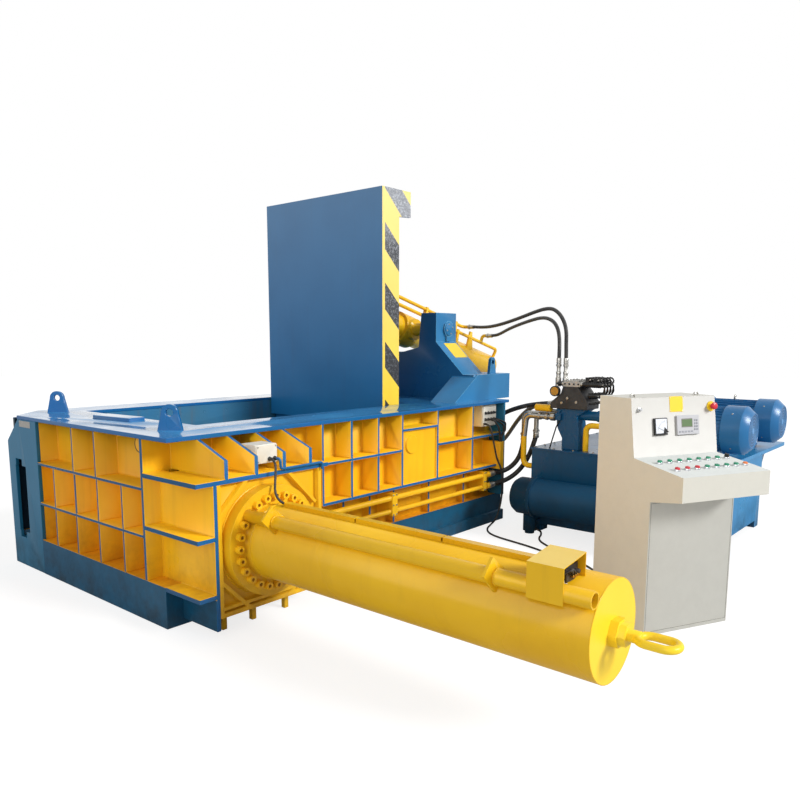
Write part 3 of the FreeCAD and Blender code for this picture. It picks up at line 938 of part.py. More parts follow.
knob = weld(bar("z", (0, 0), "button_r", (2, "bezel_t + 6")),
            block((-4, 4), ("-button_r", "button_r"), ("bezel_t + 5", "bezel_t + 18")))
free("selector", knob, columns[7], value("row_back"))
head = weld(bar("z", (0, 0), 11, (7, 20)), bar("z", (0, 0), 20, (20, 38)))
free("emergency_stop", head, 575, 268, panel=True)
key = weld(bar("z", (0, 0), 9, (2, 12)), block((-2, 2), (-7, 7), (12, 26)))
free("key_switch", key, 50, 265, panel=True)

# ---------------------------------------------------------------- free hoses and cables
START_A = on_lid_tube(900, 270, -127)
START_B = on_lid_tube(1230, 262, -150)
hose("lid_hose_a", ([START_A, (START_A[0], 845, START_A[2]), (4220, 745, 1757), (4130, 575, 1757),
                     (4020, 380, 1775), (3900, 170, 1807), (3785, -20, 1840), (3690, -185, 1872),
                     (3610, -330, 1895), (3548, -440, 1893), (3502, -525, 1855), (3470, -590, 1790),
                     (3448, -630, 1705), (3443, -634, 1600), (3440, -640, 1490), (3440, -640, 1400)], 16))
hose("lid_hose_b", ([START_B, (START_B[0], 830, START_B[2]), (4560, 750, 1680), (4506, 660, 1701),
                     (4400, 530, 1731), (4270, 370, 1760), (4130, 190, 1788), (3990, 10, 1812),
                     (3855, -160, 1828), (3735, -300, 1818), (3630, -420, 1780), (3550, -500, 1715),
                     (3492, -545, 1640), (3456, -567, 1560), (3440, -575, 1478), (3440, -575, 1400)], 16))
hose("press_hose_a", ([(3190, -60, 460), (3262, -60, 460), (3330, -78, 462), (3388, -122, 480),
                       (3420, -175, 530), (3432, -222, 600), (3433, -250, 690), (3432, -262, 770),
                       (3432, -262, 829)], "pipe_r"))
hose("press_hose_b", ([(3190, -60, 360), (3268, -60, 360), (3345, -78, 366), (3412, -122, 392),
                       (3458, -180, 445), (3482, -240, 525), (3491, -292, 625), (3493, -328, 725),
                       (3492, -350, 795), (3492, -350, 857)], "pipe_r"))
hose("main_hose_a", ([(3480, -544, 1086), (3480, -464, 1086), (3486, -370, 1078), (3500, -230, 1052),
                      (3525, -60, 1000), (3552, 120, 915), (3580, 290, 812), (3600, 430, 710),
                      (3612, 560, 602), (3619, 640, 560), (3620, 720, 538), (3620, 800, 538)], 20))
hose("main_hose_b", ([(3540, -544, 1086), (3540, -464, 1086), (3565, -380, 1077), (3635, -270, 1052),
                      (3745, -135, 1005), (3880, 5, 940), (4025, 145, 865), (4165, 275, 785),
                      (4290, 390, 710), (4395, 490, 645), (4480, 570, 597), (4540, 640, 556),
                      (4560, 720, 538), (4560, 800, 538)], 20))
hose("floor_cable", ([(3146, -54, 905), (3146, -86, 901), (3156, -106, 850), (3182, -108, 770),
                      (3216, -106, 680), (3254, -104, 590), (3288, -132, 500), (3306, -134, 390),
                      (3310, -128, 250), (3298, -112, 130), (3262, -98, 40), (3180, -96, 9),
                      (3060, -140, 8.5), (2950, -225, 8.5), (2885, -350, 8.5), (2850, -510, 8.5),
                      (2806, -710, 8.5), (2740, -900, 8.5), (2650, -1090, 8.5), (2540, -1280, 8.5),
                      (2420, -1440, 8.5), (2300, -1570, 8.5), (2214, -1657, 9), (2169.6, -1746.3, 30),
                      (2142.8, -1800, 30)], 8))
hose("power_cable", ([(3214, -526, 40), (3204, -580, 38), (3150, -620, 22), (3080, -634, 9),
                      (3000, -690, 8.5), (2930, -780, 8.5), (2860, -900, 8.5), (2780, -1040, 8.5),
                      (2680, -1210, 8.5), (2565, -1370, 8.5), (2450, -1500, 8.5), (2340, -1605, 8.5),
                      (2254, -1677, 9), (2209.9, -1766.3, 30), (2183.1, -1820, 30)], 8))
hose("duct_cable", ([(518, -324, 950), (515, -352, 944), (502, -378, 900), (482, -392, 840),
                     (464, -408, 780), (468, -430, 738), (486, -456, 716), (490, -480, 713)], 7))

# ---------------------------------------------------------------- checks and export
doc.recompute()
failed = [o.Name for o in doc.Objects if "Invalid" in o.State or "Error" in o.State]
if failed:
    raise RuntimeError(f"failed objects: {failed}")
for made in nodes:
    shape = made.Shape
    if shape.isNull() or not shape.isValid() or shape.Volume <= 0:
        raise RuntimeError(f"bad shape: {made.Label}")
    print(f"{made.Label}: {len(shape.Solids)} solids, {shape.Volume / 1e9:.5f} m3")
    shape.exportStep(f"parts/{made.Label}.step")
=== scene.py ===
import json
import math

import bmesh
import bpy
from mathutils import Matrix, Vector

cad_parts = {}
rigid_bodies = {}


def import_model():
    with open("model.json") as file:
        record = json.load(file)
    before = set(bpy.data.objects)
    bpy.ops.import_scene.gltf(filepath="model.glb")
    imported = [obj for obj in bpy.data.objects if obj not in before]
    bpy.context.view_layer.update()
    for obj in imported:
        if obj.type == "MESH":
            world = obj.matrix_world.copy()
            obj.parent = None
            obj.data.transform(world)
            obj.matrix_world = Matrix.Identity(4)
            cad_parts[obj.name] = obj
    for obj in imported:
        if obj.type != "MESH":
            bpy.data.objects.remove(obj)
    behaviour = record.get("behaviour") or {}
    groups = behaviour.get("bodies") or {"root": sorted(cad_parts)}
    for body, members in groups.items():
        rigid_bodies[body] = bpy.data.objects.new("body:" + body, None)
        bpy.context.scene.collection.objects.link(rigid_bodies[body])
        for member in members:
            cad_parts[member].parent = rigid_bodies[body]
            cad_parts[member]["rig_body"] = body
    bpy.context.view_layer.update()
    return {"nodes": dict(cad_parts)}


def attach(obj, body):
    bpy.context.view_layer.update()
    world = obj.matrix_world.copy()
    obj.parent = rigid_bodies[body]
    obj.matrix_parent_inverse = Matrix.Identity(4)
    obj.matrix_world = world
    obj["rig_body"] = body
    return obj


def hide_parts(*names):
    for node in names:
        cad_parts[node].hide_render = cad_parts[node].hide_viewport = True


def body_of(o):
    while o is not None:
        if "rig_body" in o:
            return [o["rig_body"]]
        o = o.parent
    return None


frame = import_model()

# A scrap baler: press box, swinging lid, two rams, power unit and control desk.
# Places are millimetres from the press box's near bottom corner.
boxCorner = Vector((-1.7475, -0.999, 0))


def at(x, y, z):
    return boxCorner + Vector((x, y, z)) / 1000


def colour(r, g, b):
    return (*(((c / 255 + 0.055) / 1.055) ** 2.4 for c in (r, g, b)), 1)


def show(name, data):
    made = bpy.data.objects.new(name, data)
    bpy.context.scene.collection.objects.link(made)
    return made


# camera, light and floor
eye = {"place": (-2172.6, -3530.9, 1625.2), "heading": 49.07, "dip": 8.23, "lens": 32.9,
       "shift": (0.0162, 0.0574)}
light = {"sky": 0.42, "key": 2.8, "keyFrom": (0.24, -0.85, 0.46), "keySoftness": 16,
         "fill": 1.15, "fillFrom": (-0.92, -0.25, 0.22), "fillSoftness": 60}
floorLook = {"size": 30, "drop": 0.002, "lit": 0.32, "glow": 0.79, "bounce": 0.62}


def setCamera():
    optics = bpy.data.cameras.new("camera")
    optics.lens, optics.sensor_width, optics.sensor_fit = eye["lens"], 36, "HORIZONTAL"
    optics.shift_x, optics.shift_y = eye["shift"]
    optics.clip_end = 100
    camera = show("camera", optics)
    camera.location = at(*eye["place"])
    camera.rotation_euler = (math.radians(90 - eye["dip"]), 0, math.radians(-eye["heading"]))
    bpy.context.scene.camera = camera


def addNode(tree, kind, values=None, **settings):
    made = tree.nodes.new("ShaderNode" + kind)
    for name, setting in settings.items():
        setattr(made, name, setting)
    for socket, value in (values or {}).items():
        if isinstance(value, bpy.types.NodeSocket):
            tree.links.new(value, made.inputs[socket])
        else:
            made.inputs[socket].default_value = value
    return made


def maths(tree, operation, *values):
    return addNode(tree, "Math", dict(enumerate(values)), operation=operation).outputs[0]


def addSun(name, strength, comesFrom, softness):
    lamp = bpy.data.lights.new(name, "SUN")
    lamp.energy, lamp.angle = strength, math.radians(softness)
    show(name, lamp).rotation_euler = Vector(comesFrom).to_track_quat("Z", "Y").to_euler()


def setStudio():
    world = bpy.data.worlds.new("studio")
    bpy.context.scene.world = world
    world.use_nodes = True
    tree = world.node_tree
    tree.nodes.clear()
    path = addNode(tree, "LightPath")
    seen = maths(tree, "MAXIMUM", path.outputs["Is Camera Ray"], path.outputs["Is Glossy Ray"])
    seen = maths(tree, "MAXIMUM", seen, path.outputs["Is Transmission Ray"])
    level = addNode(tree, "MapRange", {"Value": seen, "To Min": light["sky"], "To Max": 1.0})
    sky = addNode(tree, "Background", {"Color": (1, 1, 1, 1), "Strength": level.outputs[0]})
    addNode(tree, "OutputWorld", {"Surface": sky.outputs[0]})
    for name in ("key", "fill"):
        addSun(name, light[name], light[name + "From"], light[name + "Softness"])

    bm = bmesh.new()
    bmesh.ops.create_grid(bm, x_segments=1, y_segments=1, size=floorLook["size"])
    mesh = bpy.data.meshes.new("floor")
    bm.to_mesh(mesh)
    bm.free()
    floor = show("floor", mesh)
    floor.location.z = -floorLook["drop"]
    pale = bpy.data.materials.new("paleFloor")
    pale.use_nodes = True
    tree = pale.node_tree
    tree.nodes.clear()
    path = addNode(tree, "LightPath")
    lit, bounce = (addNode(tree, "BsdfDiffuse", {"Color": (*[floorLook[part]] * 3, 1)})
                   for part in ("lit", "bounce"))
    glow = addNode(tree, "Emission", {"Color": (1, 1, 1, 1), "Strength": floorLook["glow"]})
    shown = addNode(tree, "AddShader", {0: lit.outputs[0], 1: glow.outputs[0]})
    mixed = addNode(tree, "MixShader", {0: path.outputs["Is Camera Ray"], 1: bounce.outputs[0],
                                        2: shown.outputs[0]})
    addNode(tree, "OutputMaterial", {"Surface": mixed.outputs[0]})
    mesh.materials.append(pale)
    bpy.context.scene.view_settings.view_transform = "Standard"


setCamera()
setStudio()
print("camera and studio set")


# effects shared by several finishes
def newGroup(name, **inputs):
    group = bpy.data.node_groups.new(name, "ShaderNodeTree")
    results = {"Color": ["Color"], "Float": ["Roughness", "Height"]}
    for direction, sockets in (("INPUT", inputs), ("OUTPUT", results)):
        for kind, labels in sockets.items():
            for label in labels:
                group.interface.new_socket(label, in_out=direction, socket_type="NodeSocket" + kind)
    return group, group.nodes.new("NodeGroupInput").outputs, addNode(group, "TexCoord").outputs["Object"]


def closed(group, *found):
    out = group.nodes.new("NodeGroupOutput")
    for socket, end in zip(found, out.inputs):
        group.links.new(socket, end)
    return group


def noise(tree, vector, scale, detail=3, rough=0.5):
    return addNode(tree, "TexNoise", {"Vector": vector, "Scale": scale, "Detail": detail,
                                      "Roughness": rough}).outputs["Fac"]


def between(tree, value, low, high, first=0.0, last=1.0):
    return addNode(tree, "MapRange", {"Value": value, "From Min": low, "From Max": high,
                                      "To Min": first, "To Max": last}).outputs[0]


def times(tree, one, other):
    return maths(tree, "MULTIPLY", one, other)


def plus(tree, one, other):
    return maths(tree, "ADD", one, other)


def blended(tree, factor, one, other):
    made = addNode(tree, "Mix", data_type="RGBA")
    for socket, value in (("Factor_Float", factor), ("A_Color", one), ("B_Color", other)):
        found = next(s for s in made.inputs if s.identifier == socket)
        if isinstance(value, bpy.types.NodeSocket):
            tree.links.new(value, found)
        else:
            found.default_value = value
    return next(s for s in made.outputs if s.identifier == "Result_Color")


def makeEnamel():
    group, given, place = newGroup("enamel", Color=["Paint", "Shade", "Grime"],
                                   Float=["Grime Height", "Streaks", "Gloss", "Top Highlight"])
    clouds = between(group, noise(group, place, 1.9, 4), 0.32, 0.68)
    tone = blended(group, clouds, given["Paint"], given["Shade"])
    tall = addNode(group, "Mapping", {"Vector": place, "Scale": (11, 11, 0.8)}).outputs[0]
    runs = times(group, between(group, noise(group, tall, 1.4, 5, 0.62), 0.52, 0.78), given["Streaks"])
    tone = blended(group, runs, tone, given["Grime"])
    height = addNode(group, "SeparateXYZ", {"Vector": place}).outputs["Z"]
    # painted highlight: higher up, the paint is mixed towards a pale blue-grey by the given amount
    pale = times(group, between(group, height, 1.3, 2.9), given["Top Highlight"])
    tone = blended(group, pale, tone, (0.62, 0.70, 0.74, 1))
    low = between(group, height, 0.0, given["Grime Height"], 0.75, 0.0)
    splash = times(group, low, between(group, noise(group, place, 6, 7, 0.65), 0.36, 0.66))
    tone = blended(group, splash, tone, given["Grime"])
    fine = noise(group, place, 46, 7, 0.7)
    scuff = between(group, fine, 0.7, 0.76, 0, 0.22)
    tone = blended(group, scuff, tone, (0.75, 0.72, 0.66, 1))
    rough = plus(group, given["Gloss"], between(group, clouds, 0, 1, 0, 0.12))
    rough = plus(group, rough, times(group, splash, 0.35))
    peel = plus(group, times(group, noise(group, place, 260, 2), 0.12), noise(group, place, 7, 3))
    return closed(group, tone, rough, peel)


def makeGrain():
    group, given, place = newGroup("machinedGrain", Color=["Bright", "Dull"], Vector=["Stretch"],
                                   Float=["Gloss"])
    drawn = addNode(group, "Mapping", {"Vector": place, "Scale": given["Stretch"]}).outputs[0]
    lines = noise(group, drawn, 9, 6, 0.6)
    clouds = between(group, noise(group, place, 5, 5, 0.6), 0.35, 0.65)
    tone = blended(group, between(group, lines, 0.3, 0.7), given["Dull"], given["Bright"])
    tone = blended(group, times(group, clouds, 0.45), tone, given["Dull"])
    return closed(group, tone, plus(group, given["Gloss"], times(group, clouds, 0.2)), lines)


def makeMould():
    group, given, place = newGroup("mouldedSurface", Color=["Colour", "Dust"],
                                   Float=["Dusting", "Grain", "Gloss"])
    specks = noise(group, place, given["Grain"], 3)
    patches = times(group, between(group, noise(group, place, 14, 5, 0.65), 0.4, 0.72), given["Dusting"])
    tone = blended(group, patches, given["Colour"], given["Dust"])
    return closed(group, tone, plus(group, given["Gloss"], times(group, patches, 0.6)), specks)


groups = {"enamel": makeEnamel(), "grain": makeGrain(), "mould": makeMould()}


def finish(name, kind, values, bump=0.1, bumpSize=0.002, **sockets):
    material = bpy.data.materials.new(name)
    material.use_nodes = True
    tree = material.node_tree
    shader = tree.nodes["Principled BSDF"]
    effect = tree.nodes.new("ShaderNodeGroup")
    effect.node_tree = groups[kind]
    for socket, value in values.items():
        effect.inputs[socket].default_value = value
    tree.links.new(effect.outputs["Color"], shader.inputs["Base Color"])
    tree.links.new(effect.outputs["Roughness"], shader.inputs["Roughness"])
    relief = addNode(tree, "Bump", {"Strength": bump, "Distance": bumpSize,
                                    "Height": effect.outputs["Height"]})
    tree.links.new(relief.outputs[0], shader.inputs["Normal"])
    for socket, value in sockets.items():
        shader.inputs[socket.replace("_", " ")].default_value = value
    return material


def enamel(name, paint, shade, grime=(70, 58, 40), grimeHeight=0.35, streaks=0.16, gloss=0.26, topHighlight=0.0,
           shine=0.32):
    return finish(name, "enamel", {"Paint": colour(*paint), "Shade": colour(*shade),
                                   "Grime": colour(*grime), "Grime Height": grimeHeight,
                                   "Streaks": streaks, "Gloss": gloss, "Top Highlight": topHighlight},
                  bump=0.12, bumpSize=0.003, Specular_IOR_Level=shine)


def metal(name, bright, dull, stretch, gloss=0.22):
    return finish(name, "grain", {"Bright": colour(*bright), "Dull": colour(*dull), "Stretch": stretch,
                                  "Gloss": gloss}, bump=0.08, bumpSize=0.0006, Metallic=1.0)


def moulded(name, body, dusting=0.2, grain=300.0, gloss=0.45, bump=0.12):
    return finish(name, "mould", {"Colour": colour(*body), "Dust": (0.2, 0.19, 0.17, 1), "Dusting": dusting,
                                  "Grain": grain, "Gloss": gloss}, bump=bump, bumpSize=0.0006)


yellow = enamel("yellowEnamel", (250, 198, 34), (242, 184, 26), (150, 96, 30), 0.5, 0.18, 0.22)
barrelYellow = enamel("barrelYellow", (238, 190, 30), (226, 174, 24), (140, 96, 34), 0.3, 0.12, 0.2)
recessOrange = enamel("recessYellow", (252, 190, 38), (240, 172, 28), (150, 88, 26), 0.6, 0.2, 0.3)
# painted light: a lighter, lemon copy of the barrel's yellow for its lit end
litEndYellow = enamel("barrelEndLitYellow", (250, 216, 50), (244, 206, 42), (180, 130, 40), 0.3, 0.06, 0.3)
coverTopLitYellow = enamel("coverTopLitYellow", (248, 216, 110), (244, 204, 90), (180, 130, 50), 0.2, 0.1, 0.3)
edgeBlue = enamel("edgeBlue", (18, 98, 152), (18, 94, 158), streaks=0.08)
rimTopGlareBlue = enamel("rimTopGlareBlue", (64, 138, 190), (50, 122, 176), streaks=0.05, gloss=0.1)
# painted shade: a darker blue for the end plates
shadedPlateBlue = enamel("endPlateShadedBlue", (36, 112, 148), (32, 104, 138), (46, 56, 62), 0.35, 0.14)
socketShadeYellow = enamel("socketShadeYellow", (196, 140, 36), (176, 122, 32), streaks=0.05)
ringShadeBrown = enamel("ringShadeBrown", (120, 84, 34), (96, 66, 30), (60, 44, 30), 0.2, 0.1)
# painted shade: a darker copy of the edge blue
shadedSideEdgeBlue = enamel("shadedSideEdgeBlue", (16, 86, 132), (14, 78, 120), streaks=0.08)
blue = enamel("pressBlue", (42, 126, 176), (36, 112, 162), (36, 52, 66), 0.3, 0.12)
# painted shade: a darker copy of the press blue for faces that turn away from the light
shadedSideBlue = enamel("shadedBlue", (30, 90, 134), (26, 82, 122), (30, 44, 56), 0.3, 0.12)
baseBlue = enamel("baseBlue", (16, 88, 122), (14, 78, 110), (40, 44, 46), 0.4, 0.2, 0.3)
# light blue for edges: partly wear, partly painted highlight
wornAndLitEdgeBlue = enamel("wornAndHighlitEdgeBlue", (120, 184, 214), (96, 164, 200), (60, 80, 90), 0.3, 0.1)
# the lid's blue carries a painted highlight towards its top
lidBlue = enamel("lidBlue", (28, 108, 162), (24, 100, 152), (50, 66, 84), 0.2, 0.12, 0.3, topHighlight=0.16)
linerBlue = enamel("linerBlue", (46, 116, 160), (60, 112, 140), (98, 92, 84), 0.9, 0.5, 0.36)
unitBlue = enamel("unitBlue", (18, 84, 126), (14, 74, 112), (28, 36, 40), 0.5, 0.2, 0.24)
vesselShadeBlue = enamel("vesselShadeBlue", (12, 64, 94), (10, 56, 84), (28, 36, 40), 0.5, 0.2, 0.42, shine=0.16)
frameYellow = enamel("frameYellow", (234, 186, 32), (226, 174, 26), (140, 96, 34), 0.42, 0.16)
tankLitBlue = enamel("tankLitEndBlue", (40, 136, 190), (34, 122, 176), (28, 60, 76), 0.4, 0.15, 0.24)
motorBlue = enamel("motorBlue", (44, 114, 168), (38, 104, 156), (46, 58, 66), 0.3, 0.1, 0.22)
motorEnd = enamel("motorEndBlue", (28, 84, 130), (24, 76, 120), (40, 50, 60), 0.3, 0.1, 0.3)
cream = moulded("creamSide", (238, 231, 213), 0.05, 420.0, 0.4, 0.18)
panelCream = moulded("creamPanel", (184, 182, 176), 0.04, 420.0, 0.4, 0.18)
lipCream = moulded("creamLip", (207, 205, 195), 0.04, 420.0, 0.4, 0.18)
frontShadeCream = moulded("creamFrontShade", (202, 201, 193), 0.06, 420.0, 0.42, 0.18)
slopeGrey = moulded("slopeGrey", (208, 212, 209), 0.06, 420.0, 0.28, 0.12)
boxWhite = moulded("boxWhite", (226, 222, 210), 0.12, 380.0, 0.42)
blackPlastic = moulded("blackPlastic", (24, 24, 26), 0.2)
blackIron = moulded("blackIron", (27, 28, 31), 0.2, 90.0, 0.42, 0.35)
rubber = moulded("hoseRubber", (22, 22, 24), 0.25, 520.0, 0.5, 0.3)
steel = metal("rolledSteel", (150, 150, 150), (92, 90, 88), (2, 30, 2), 0.34)
chrome = metal("chromeRod", (222, 224, 226), (196, 198, 202), (40, 40, 40), 0.08)
zinc = metal("zincFitting", (206, 204, 198), (150, 148, 142), (30, 30, 30), 0.22)
greenCap = moulded("greenCap", (22, 140, 104), 0.05, 200.0, 0.3)
redCap = moulded("redCap", (206, 34, 52), 0.05, 200.0, 0.3)
amberCap = moulded("amberCap", (232, 120, 40), 0.05, 200.0, 0.3)
plateYellow = moulded("plateYellow", (244, 206, 28), 0.04, 60.0, 0.35)
glossBlack = moulded("glossBlack", (16, 16, 18), 0.08, 160.0, 0.2)
seamGrey = moulded("seamGrey", (120, 118, 110), 0.1)
dialWhite = moulded("dialWhite", (228, 232, 240), 0.03, 300.0, 0.25, 0.03)
displayGrey = moulded("displayGrey", (186, 186, 190), 0.05)
keyGrey = moulded("keyGrey", (150, 152, 160), 0.05)
lcdGreen = moulded("lcdGreen", (92, 120, 78), 0.1, 500.0, 0.2, 0.05)
glass = moulded("sightGlass", (196, 170, 110), 0.05, 100.0, 0.08, 0.02)
brass = metal("brass", (214, 168, 84), (170, 124, 52), (30, 30, 30), 0.25)
# painted shade: a dark blue for inner faces
insideShade = enamel("paintedInsideShade", (18, 46, 62), (16, 34, 50), (20, 20, 20), 0.6, 0.2, 0.4)
darkSteel = metal("gateSteel", (92, 100, 108), (48, 56, 64), (2, 2, 30), 0.4)
motorGuard = enamel("guardBlue", (92, 150, 200), (84, 140, 190), (46, 58, 66), 0.1, 0.05, 0.3)


def innards(material):
    tree = material.node_tree
    effect = next(n for n in tree.nodes if n.type == "GROUP")
    return tree, tree.nodes["Principled BSDF"], effect, addNode(tree, "TexCoord").outputs["Object"]


def makeStripes():
    material = enamel("hazardStripes", (248, 210, 64), (242, 200, 54), (190, 150, 70), 0.05, 0.1, 0.34)
    tree, shader, effect, place = innards(material)
    split = addNode(tree, "SeparateXYZ", {"Vector": place})
    band = {"pitch": 0.465, "share": 0.45, "lean": 0.95, "start": -1.457, "margin": 0.543}
    along, height = split.outputs["X"], split.outputs["Z"]
    slide = maths(tree, "MULTIPLY_ADD", along, band["lean"], height)
    turns = maths(tree, "DIVIDE", plus(tree, slide, band["start"]), band["pitch"])
    dark = maths(tree, "LESS_THAN", maths(tree, "FRACT", turns), band["share"])
    clear = maths(tree, "GREATER_THAN", along, band["margin"])
    chipped = between(tree, noise(tree, place, 30, 8, 0.74), 0.70, 0.66, 0.3, 1)
    mask = times(tree, times(tree, dark, clear), chipped)
    scratches = between(tree, noise(tree, place, 44, 8, 0.85), 0.5, 0.6)
    # the black stripes turn grey where scratched, and higher up and at the top edge they turn grey all over
    # as a painted highlight
    lighterHigherUp = between(tree, height, 1.1, 2.75, 0.1, 0.95)
    topEdgeHighlight = between(tree, height, 2.35, 2.6, 0.0, 0.35)
    scratchesAndHighlight = plus(tree, times(tree, plus(tree, times(tree, scratches, 0.75), 0.12), lighterHigherUp), topEdgeHighlight)
    blackStripeScratchedAndLit = blended(tree, scratchesAndHighlight, colour(24, 25, 28), colour(200, 204, 212))
    # painted highlight: the yellow turns paler towards the top
    paintedTopHighlight = times(tree, between(tree, height, 1.2, 2.8), 0.75)
    ground = blended(tree, paintedTopHighlight, effect.outputs["Color"], colour(250, 232, 160))
    mixed = blended(tree, mask, ground, blackStripeScratchedAndLit)
    tree.links.new(mixed, shader.inputs["Base Color"])
    return material


# wall paint that changes to the base's blue below the given height
def makeTwoTone(level):
    material = enamel("wallTwoTone", (250, 196, 34), (242, 180, 26), (150, 94, 28), 0.6, 0.2)
    tree, shader, effect, place = innards(material)
    height = addNode(tree, "SeparateXYZ", {"Vector": place}).outputs["Z"]
    low = maths(tree, "LESS_THAN", height, level)
    mixed = blended(tree, low, effect.outputs["Color"], colour(20, 84, 120))
    tree.links.new(mixed, shader.inputs["Base Color"])
    return material


# thick clear gloss with worn, duller patches, for the rim that people lean on
def polish(material):
    tree, shader, effect, place = innards(material)
    patches = between(tree, noise(tree, place, 2.6, 6, 0.62), 0.38, 0.6, 0.12, 0.9)
    tree.links.new(patches, shader.inputs["Coat Weight"])
    shader.inputs["Coat Roughness"].default_value = 0.09
    shader.inputs["Coat IOR"].default_value = 1.8


# the near wall's planes along Y and the height where its paint changes
wall = {"front": -77, "knee": -326, "inner": 10, "floorLine": 223}
polish(rimTopGlareBlue)
wallTwoTone = makeTwoTone(wall["floorLine"] / 1000)
stripes = makeStripes()
print("finishes made")


# building helpers, in millimetres from the press box's corner unless a matrix says otherwise
corner = Matrix.Translation(boxCorner)
up, back, ahead, right = (0, 0, 1), (0, 1, 0), (0, -1, 0), (1, 0, 0)


def mark(verts, slot):
    for face in {f for v in verts for f in v.link_faces}:
        face.material_index = slot


def block(bm, low, high, slot=0, within=corner):
    low, high = Vector(low) / 1000, Vector(high) / 1000
    where = within @ Matrix.Translation((low + high) / 2) @ Matrix.Diagonal((*(high - low), 1))
    mark(bmesh.ops.create_cube(bm, size=1, matrix=where)["verts"], slot)


def aim(start, towards):
    return Matrix.Translation(start) @ towards.to_track_quat("Z", "Y").to_matrix().to_4x4()


def rod(bm, start, end, radius, sides=24, slot=0, tip=None, within=corner):
    start, end = Vector(start) / 1000, Vector(end) / 1000
    made = bmesh.ops.create_cone(bm, cap_ends=True, segments=sides, radius1=radius / 1000,
                                 radius2=(radius if tip is None else tip) / 1000, depth=(end - start).length,
                                 matrix=within @ aim((start + end) / 2, end - start))
    mark(made["verts"], slot)


# cosines and sines of evenly spaced turns
def circle(count, start=0.0):
    return [(math.cos(a), math.sin(a)) for a in (start + 2 * math.pi * k / count for k in range(count))]


# built ring by ring, because the spin tool orders its faces differently each run
def lathe(bm, outline, start, towards, sides=48, slot=0, within=corner):
    where, rings = within @ aim(Vector(start) / 1000, Vector(towards)), []
    closed = math.dist(outline[0], outline[-1]) < 0.001
    for r, d in outline[:-1] if closed else outline:
        around = circle(sides) if r else [(0, 0)]
        rings.append([bm.verts.new(where @ (Vector((r * c, r * h, d)) / 1000)) for c, h in around])
    made = []
    for one, two in zip(rings, rings[1:] + rings[:closed]):
        for k in range(sides):
            corners = (one[k % len(one)], one[(k + 1) % len(one)], two[(k + 1) % len(two)], two[k % len(two)])
            made.append(bm.faces.new(dict.fromkeys(corners)))
    bmesh.ops.recalc_face_normals(bm, faces=made)
    mark([v for ring in rings for v in ring], slot)


def hoop(bm, centre, axis, big, small, sides=48, around=10, slot=0, within=corner):
    steps = [2 * math.pi * k / around for k in range(around + 1)]
    lathe(bm, [(big + small * math.cos(a), small * math.sin(a)) for a in steps], centre, axis, sides, slot,
          within)


def bend(points, radius, steps=6):
    spots = [Vector(p) for p in points]
    path = [spots[0]]
    for before, spot, after in zip(spots, spots[1:], spots[2:]):
        inward, onward = (before - spot).normalized(), (after - spot).normalized()
        turn = math.pi - inward.angle(onward)
        reach = min(radius * math.tan(turn / 2), (before - spot).length / 2, (after - spot).length / 2)
        for k in range(steps + 1):
            t = k / steps
            path.append(spot + inward * reach * (1 - t) ** 2 + onward * reach * t ** 2)
    return path + [spots[-1]]


def tube(bm, points, radius, sides=12, slot=0, within=corner):
    spots = [Vector(p) / 1000 for p in points]
    runs = [(b - a).normalized() for a, b in zip(spots, spots[1:])]
    facing = [runs[0]] + [(a + b).normalized() for a, b in zip(runs, runs[1:])] + [runs[-1]]
    here = aim(spots[0], facing[0])
    made = bmesh.ops.create_circle(bm, cap_ends=True, segments=sides, radius=radius / 1000,
                                   matrix=within @ here)["verts"]
    face = made[0].link_faces[0]
    everything = list(made)
    for spot, old, new in zip(spots[1:], facing, facing[1:]):
        turn = old.rotation_difference(new).to_matrix().to_4x4()
        there = Matrix.Translation(spot) @ turn @ Matrix.Translation(-here.translation) @ here
        grown = bmesh.ops.extrude_face_region(bm, geom=[face])["geom"]
        made = [g for g in grown if isinstance(g, bmesh.types.BMVert)]
        face = next(g for g in grown if isinstance(g, bmesh.types.BMFace))
        bmesh.ops.transform(bm, matrix=within @ there @ here.inverted() @ within.inverted(), verts=made)
        here = there
        everything += made
    bmesh.ops.recalc_face_normals(bm, faces=list({f for v in everything for f in v.link_faces}))
    mark(everything, slot)


def bolt(bm, seat, out, size, slot=0, within=corner):
    seat, out = Vector(seat), Vector(out).normalized()
    rod(bm, seat - out, seat + out * size * 0.2, size * 1.15, 20, slot, within=within)
    rod(bm, seat, seat + out * size * 0.85, size * 0.95, 6, slot, within=within)


# places from low to high with equal gaps
def spaced(low, high, gaps):
    return [low + k * (high - low) / gaps for k in range(gaps + 1)]


def piece(name, bm, finishes, bevel=0.0, angle=40, smooth=32, stands=None, worn=None, rides="frame"):
    if bevel:
        sharp = [e for e in bm.edges if len(e.link_faces) == 2
                 and e.calc_face_angle(0) > math.radians(angle)]
        made = bmesh.ops.bevel(bm, geom=sharp, offset=bevel / 1000, offset_type="OFFSET", affect="EDGES",
                               segments=1, profile=0.5, material=-1, clamp_overlap=True)
        # the bevel faces can get a finish of their own, used for light edges that are partly wear and partly
        # painted highlight
        for face in () if worn is None else made["faces"]:
            face.material_index = worn
    mesh = bpy.data.meshes.new(name)
    bm.to_mesh(mesh)
    bm.free()
    for material in finishes:
        mesh.materials.append(material)
    mesh.polygons.foreach_set("use_smooth", [True] * len(mesh.polygons))
    mesh.set_sharp_from_angle(angle=math.radians(smooth))
    made = show(name, mesh)
    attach(made, rides)
    if stands:
        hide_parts(stands)
    return made


def body(node):
    return body_of(frame["nodes"][node])[0]


def merged(node):
    bm = bmesh.new()
    bm.from_mesh(frame["nodes"][node].data)
    bmesh.ops.remove_doubles(bm, verts=bm.verts[:], dist=0.00002)
    bmesh.ops.dissolve_limit(bm, angle_limit=math.radians(0.5), verts=bm.verts[:], edges=bm.edges[:])
    return bm


